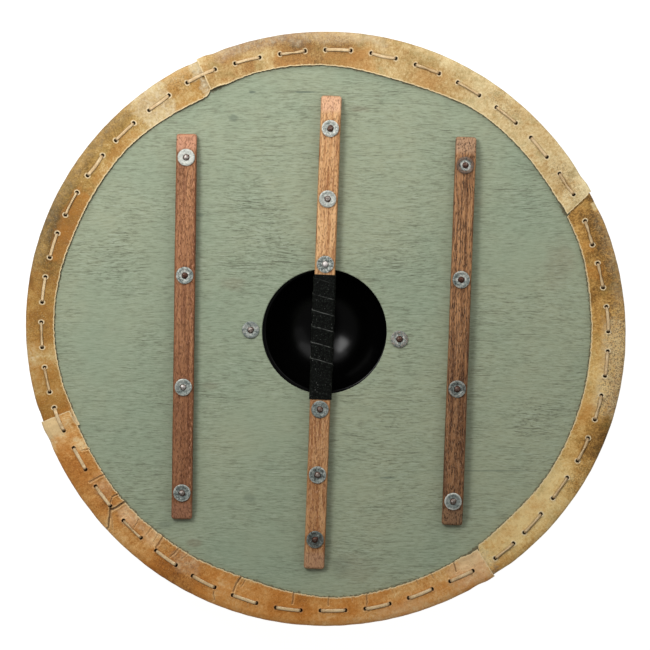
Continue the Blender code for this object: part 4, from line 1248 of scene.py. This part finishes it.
def makeLace():
    random.seed(7)
    hide, bend, middle = shield["hide"], lace["bend"], boardMiddle
    path = []  # (angle, radius, height, width, thickness, roll, depth in the hole, how dirty)

    def run(startAt, endAt, level, sign, form, sag, slant, step):
        wide, thick, turns, dirty = form
        width, thickness = lace["width"] * wide, lace["thickness"] * thick
        length = math.radians(endAt - startAt) * stitchRadius(startAt)
        lean = lace["lean"]
        top = level + sign * (gap + hide + thickness / 2 + lean)
        points = []
        for k in range(3):  # out of the hole
            points.append((lean, middle + (top - sign * bend - middle) * k / 3, 1.0))
        for k in range(6):
            a = math.radians(18 * k)
            points.append((lean + bend * (1 - math.cos(a)), top - sign * bend * (1 - math.sin(a)), 1 - k / 6))
        straight = length - 2 * (lean + bend)
        steps = max(round(straight / step), 4)
        for k in range(1, steps):
            points.append((lean + bend + straight * k / steps, top, 0.0))
        for k in range(5, -1, -1):
            a = math.radians(18 * k)
            height = top - sign * bend * (1 - math.sin(a))
            points.append((length - lean - bend * (1 - math.cos(a)), height, 1 - k / 6))
        for k in range(2, 0, -1):
            points.append((length - lean, middle + (top - sign * bend - middle) * k / 3, 1.0))
        for distance, height, deep in points:
            share = distance / length
            degrees = startAt + (endAt - startAt) * share
            belly = math.sin(math.pi * share)
            lift = jointLift(degrees) if deep < 1.0 else 0.0
            ringRise = hump(distance - 0.0016, 0.0012) + hump(length - distance - 0.0016, 0.0012)
            ringRise = fold["ring"] * ringRise if sign > 0 else 0.0
            radius = stitchRadius(degrees) + sag * belly + slant * (share - 0.5) * (1 - deep)
            squeeze = 1 - 0.25 * deep
            wobble = 1 + 0.07 * ripple(degrees * 3.1, 4.2) * (1 - deep)
            roll = math.tau * turns * ease(share, 0.12, 0.88)
            height += sign * (lift + ringRise * (1 - deep))
            path.append((degrees, radius, height, width * squeeze * wobble, thickness, roll, deep, dirty))

    tail, slack, flat, frontStep = lace["tail"], lace["tailSlack"], laceForms["flat"], lace["frontStep"]
    run(stitches[0][0] - tail - slack, stitches[0][0], boardFront, -1, flat, 0.0, 0.0, frontStep)
    path[:] = path[9:]  # the loose end stays flat on the front
    for number, (start, end) in enumerate(stitches):
        kind = lace["kinds"][number]
        slant = random.uniform(-0.0005, 0.0005)
        sag = lace["sag"].get(number, random.uniform(-0.0003, 0.0003))
        run(start, end, boardBack, 1, laceForms[kind], sag, slant, lace["backStep"])
        after = stitches[number + 1][0] if number + 1 < len(stitches) else end + tail + slack
        run(end, after, boardFront, -1, flat, 0.0, 0.0, frontStep)
    path[:] = path[:-8]

    spots = [polar(radius, degrees, height) for degrees, radius, height, *_ in path]
    bm = bmesh.new()
    newLayer = bm.verts.layers.float.new
    deepLayer, sideLayer, dirtyLayer = newLayer("deep"), newLayer("side"), newLayer("dirty")
    bmesh.ops.create_grid(bm, x_segments=len(path) - 1, y_segments=lace["around"], size=1.0)
    for vert in bm.verts:
        column, row = gridSteps(vert, len(path) - 1, lace["around"])
        degrees, radius, height, width, thickness, roll, deep, dirty = path[column]
        ahead = (spots[min(column + 1, len(spots) - 1)] - spots[max(column - 1, 0)]).normalized()
        broad = polar(1.0, degrees)
        broad = (broad - ahead * broad.dot(ahead)).normalized()
        thin = ahead.cross(broad)
        a = math.tau * row / lace["around"]
        x = math.copysign(abs(math.cos(a)) ** 0.85, math.cos(a)) * width / 2
        y = math.copysign(abs(math.sin(a)) ** 0.85, math.sin(a)) * thickness / 2
        across = x * math.cos(roll) - y * math.sin(roll)
        up = x * math.sin(roll) * 0.75 + y * math.cos(roll)
        vert.co = spots[column] + broad * across + thin * up
        vert[deepLayer], vert[dirtyLayer] = deep, dirty
        # side is 1 along the thong's edges, which are painted darker as shade
        vert[sideLayer] = 1 - ease(abs(up) / thickness, 0.05, 0.42)
    bmesh.ops.remove_doubles(bm, verts=bm.verts[:], dist=1e-6)
    ends = [edge for edge in bm.edges if edge.is_boundary]
    bmesh.ops.holes_fill(bm, edges=ends, sides=0)
    bmesh.ops.recalc_face_normals(bm, faces=bm.faces[:])
    addPiece("lacing", bm, makeLaceHide(), ["lace"], 60)
    print("lace:", len(path), "rings")


# rivets and washers
fixings = {
    "families": {"left": 4, "grip": 6, "right": 4, "boss": 2},
    "steps": 48,
    "washer": 0.0088, "bore": 0.0024, "thickness": 0.0012,
    "peened": 0.0033, "shank": 0.0020, "head": 0.0042, "headDepth": 0.0018, "rivetSteps": 28,
    # per washer: brightness at the rivet, in the middle and at the rim, mottling, rust,
    # dish depth in mm, and the rivet's tone
    "washers": {
        "left": (
            (0.90, 0.88, 0.82, 0.25, 0.0, 0.1, 0.45), (0.78, 0.45, 0.60, 0.8, 0.05, 0.5, -0.7),
            (0.55, 0.52, 0.72, 0.7, 0.0, 0.35, 0.9), (0.45, 0.42, 0.62, 0.7, 0.05, 0.3, 0.3),
        ),
        "grip": (
            (0.80, 0.68, 0.80, 0.6, 0.05, 0.3, -0.4), (0.85, 0.70, 0.78, 0.5, 0.0, 0.25, 0.3),
            (0.50, 0.50, 0.62, 1.0, 0.0, 0.2, 1.3), (0.48, 0.44, 0.46, 0.6, 0.0, 0.3, 0.0),
            (0.32, 0.42, 0.60, 0.7, 0.05, 0.3, 0.1), (0.26, 0.22, 0.34, 0.7, 0.15, 0.3, -0.6),
        ),
        "right": (
            (0.85, 0.35, 0.40, 1.0, 0.5, 0.4, -0.5), (0.72, 0.42, 0.60, 0.7, 0.15, 0.45, -1.0),
            (0.38, 0.36, 0.52, 0.9, 0.2, 0.4, -0.4), (0.52, 0.46, 0.84, 0.4, 0.0, 0.15, 0.2),
        ),
        "boss": ((0.62, 0.52, 0.48, 0.6, 0.15, 0.3, 0.3), (0.68, 0.56, 0.58, 0.9, 0.3, 0.35, -0.4)),
    },
}


roveLayers = ("bright", "mottle", "rust")


def makeZinc():
    material, shader, start = newMaterial("washer_zinc", roughness=0.45, metallic=0.35)
    place = start.node("TexCoord", out="Object")
    bright, mottle, rust = (start.layer(name) for name in roveLayers)
    blotch = place.noise(430.0, 3.0, 0.6)
    fine = place.noise(1150.0, 3.0, 0.65)
    tone = bright - 0.04 + (blotch - 0.5) * mottle * 2.2 + (fine - 0.5) * (0.15 + mottle * 1.8)
    colour = tone.shades(
        (0.0, (60, 60, 54)), (0.35, (112, 122, 118)), (0.7, (172, 176, 168)), (1.0, (226, 226, 216)),
    )
    rusty = (rust + (blotch - 0.5) * 2.0).band(0.2, 0.8) * rust.band(0.0, 0.3) * 0.8
    colour = rusty.over(colour, (112, 78, 54))
    finishMaterial(start, shader, colour, 0.38 + blotch * 0.3, blotch * 0.5 + fine * 0.4, 0.0005)
    return material


def makeRivetSteel():
    material, shader, start = newMaterial("rivet_steel", roughness=0.35, metallic=0.75)
    place = start.node("TexCoord", out="Object")
    silver = start.layer("silver")
    blotch = place.noise(600.0, 3.0, 0.6)
    fine = place.noise(1800.0, 2.0, 0.6)
    # silver carries the rivet's own tone and, towards the dome's edge, painted shade
    tone = (silver + 1.0) * 0.42 + (blotch - 0.5) * 1.4 + (fine - 0.5) * 0.8
    colour = tone.shades(
        (0.0, (76, 44, 32)), (0.35, (104, 84, 74)), (0.65, (164, 156, 148)), (1.0, (232, 226, 222)),
    )
    colour = (fine.band(0.6, 0.70) * 0.5).over(colour, (48, 40, 34))
    finishMaterial(start, shader, colour, 0.28 + blotch * 0.25, blotch * 0.8 + fine * 0.3, 0.0007)
    return material


def makeFixings():
    zinc, steel = makeZinc(), makeRivetSteel()
    steps = fixings["steps"]
    for family, count in fixings["families"].items():
        for number in range(1, count + 1):
            seed = number * 7.3 + len(family) * 3.1 + ord(family[0])
            washerLow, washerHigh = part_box(f"{family}_washer_{number}")
            rivetLow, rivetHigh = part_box(f"{family}_rivet_{number}")
            centre = (washerLow + washerHigh) / 2
            nearTone, middleTone, rimTone, mottle, rust, dish, silver = fixings["washers"][family][number - 1]
            outer, bore, thickness = fixings["washer"], fixings["bore"], fixings["thickness"]
            sunk = dish / 1000
            face = thickness - sunk
            profile = [(bore, 0.0), (outer - 0.0004, 0.0), (outer - 0.0001, 0.0002), (outer, 0.0005)]
            profile += [(outer - 0.0002, thickness - 0.0002), (outer - 0.0007, thickness)]
            profile += [(outer - 0.0020, thickness + 0.00005), (outer - 0.0028, thickness - sunk * 0.35)]
            profile += [(outer - 0.0038, face), (bore + 0.0012, face), (bore + 0.0002, face - 0.0001)]
            profile += [(bore, face - 0.0003), (bore, 0.0)]
            bm = bmesh.new()
            turned(bm, profile, steps)
            layers = {name: bm.verts.layers.float.new(name) for name in roveLayers}
            for vert in bm.verts:
                a = math.atan2(vert.co.y, vert.co.x)
                uneven = ripple(math.cos(a) * 0.8 + seed, math.sin(a) * 0.8) * 0.00022
                r = vert.co.xy.length
                if r > 0.005:
                    vert.co.xy *= 1 + uneven / r
                if vert.co.z > 0.0006:
                    vert.co.z += 0.00010 * ripple(vert.co.x * 500, vert.co.y * 500, seed)
                arc = mottle * 0.35 * ripple(math.cos(a) * 1.3 + seed, math.sin(a) * 1.3, r * 260)
                tone = nearTone + (middleTone - nearTone) * ease(r, 0.0044, 0.0058)
                tone += (rimTone - middleTone) * ease(r, 0.0068, 0.0080)
                vert[layers["bright"]], vert[layers["mottle"]] = tone + arc, mottle
                vert[layers["rust"]] = rust * (0.4 + ease(r, 0.0045, 0.0065))
            bmesh.ops.translate(bm, verts=bm.verts[:], vec=(centre.x, centre.y, washerLow.z))
            addPiece(f"{family}_rove_{number}", bm, zinc, [f"{family}_washer_{number}"], 45)

            head, end = rivetLow.z, washerHigh.z - sunk
            top = rivetHigh.z
            size, shank = fixings["peened"], fixings["shank"]
            profile = [(0.0, top)]
            for k in range(1, 8):
                a = math.radians(90 * k / 7)
                height = end + (top - end) * math.cos(a) ** 0.8 if k < 7 else end + 0.0001
                profile.append((size * math.sin(a), height))
            headDepth = fixings["headDepth"]
            profile += [(size - 0.0005, end - 0.0001), (shank, end - 0.0001), (shank, head + headDepth)]
            for k in range(6):
                a = math.radians(15 * k)
                profile.append((fixings["head"] * math.cos(a), head + headDepth * (1 - math.sin(a))))
            profile.append((0.0, head))
            bm = bmesh.new()
            turned(bm, profile, fixings["rivetSteps"])
            silverLayer = bm.verts.layers.float.new("silver")
            for vert in bm.verts:
                grit = 0.25 * ripple(vert.co.x * 500, vert.co.y * 500, seed)
                # the peened dome is painted darker towards its edge, as shade where it meets the washer
                vert[silverLayer] = silver - 1.1 * ease(vert.co.xy.length, size * 0.6, size) + grit
                if vert.co.z > end - 0.001 and vert.co.xy.length > shank * 0.3:
                    a = math.atan2(vert.co.y, vert.co.x)
                    dent = ripple(math.cos(a) * 1.3 + seed, math.sin(a) * 1.3, vert.co.z * 300)
                    vert.co.xy *= 1 + 0.16 * dent
                    vert.co.z -= 0.00025 * max(ripple(vert.co.x * 420 + seed, vert.co.y * 420), 0.0)
            bmesh.ops.translate(bm, verts=bm.verts[:], vec=(centre.x, centre.y, 0.0))
            addPiece(f"{family}_stud_{number}", bm, steel, [f"{family}_rivet_{number}"], 50)
    print("fixings done")


# studio
studio = {
    "distance": 3.2,
    "width": 0.6632,  # seen across, at the board's back
    "aim": (-0.0008, 0.0038),
    "key": {"from": (-0.57, 0.53, 0.97), "size": (0.52, 0.42), "power": 7.75},
    "fill": {"from": (1.10, 0.76, 0.66), "size": (2.0, 1.6), "power": 3.5},
    "back": {"from": (0.10, 0.62, 0.46), "size": (1.5, 0.6), "power": 3.5},
    "sky": 0.24,
    "floor": 6.0, "floorGlow": 0.94,
    "sensor": 36.0,
}


def makeStudio():
    floorMaterial, shader, start = newMaterial("pale_floor", roughness=0.8, specular=0.2)
    finishMaterial(start, shader, (0.25, 0.25, 0.25, 1.0))
    shader.inputs["Emission Color"].default_value = (1.0, 1.0, 1.0, 1.0)
    shader.inputs["Emission Strength"].default_value = studio["floorGlow"]
    bm = bmesh.new()
    bmesh.ops.create_grid(bm, x_segments=1, y_segments=1, size=studio["floor"])
    floor = addPiece("floor", bm, floorMaterial, None, smooth=False)
    floor.data.transform(Matrix.Translation((0, 0, cadLow.z - 0.0002)))

    world = bpy.data.worlds.new("studio")
    scene.world = world
    world.use_nodes = True
    world.node_tree.nodes["Background"].inputs["Color"].default_value = (1.0, 1.0, 1.0, 1.0)
    world.node_tree.nodes["Background"].inputs["Strength"].default_value = studio["sky"]

    aim = Vector((*studio["aim"], boardBack))
    for name in ("key", "fill", "back"):
        spec = studio[name]
        lamp = bpy.data.lights.new(name, "AREA")
        lamp.shape = "RECTANGLE"
        lamp.size, lamp.size_y = spec["size"]
        lamp.energy = spec["power"]
        lamp.color = (1.0, 1.0, 1.0)
        holder = bpy.data.objects.new(name, lamp)
        holder.location = spec["from"]
        holder.rotation_euler = (aim - Vector(spec["from"])).to_track_quat("-Z", "Y").to_euler()
        scene.collection.objects.link(holder)

    eye = bpy.data.cameras.new("camera")
    eye.sensor_width = studio["sensor"]
    eye.lens = studio["sensor"] * studio["distance"] / studio["width"]
    eye.clip_start, eye.clip_end = 0.1, 20.0
    camera = bpy.data.objects.new("camera", eye)
    camera.location = aim + Vector((0, 0, studio["distance"]))
    scene.collection.objects.link(camera)
    scene.camera = camera
    print("studio done")


makeBoard()
makeBoss()
for side, spec in battens.items():
    makeBatten(side, spec)
makeWrap()
for side, spec in strips.items():
    makeHide(side, spec)
makeLace()
makeFixings()
makeStudio()
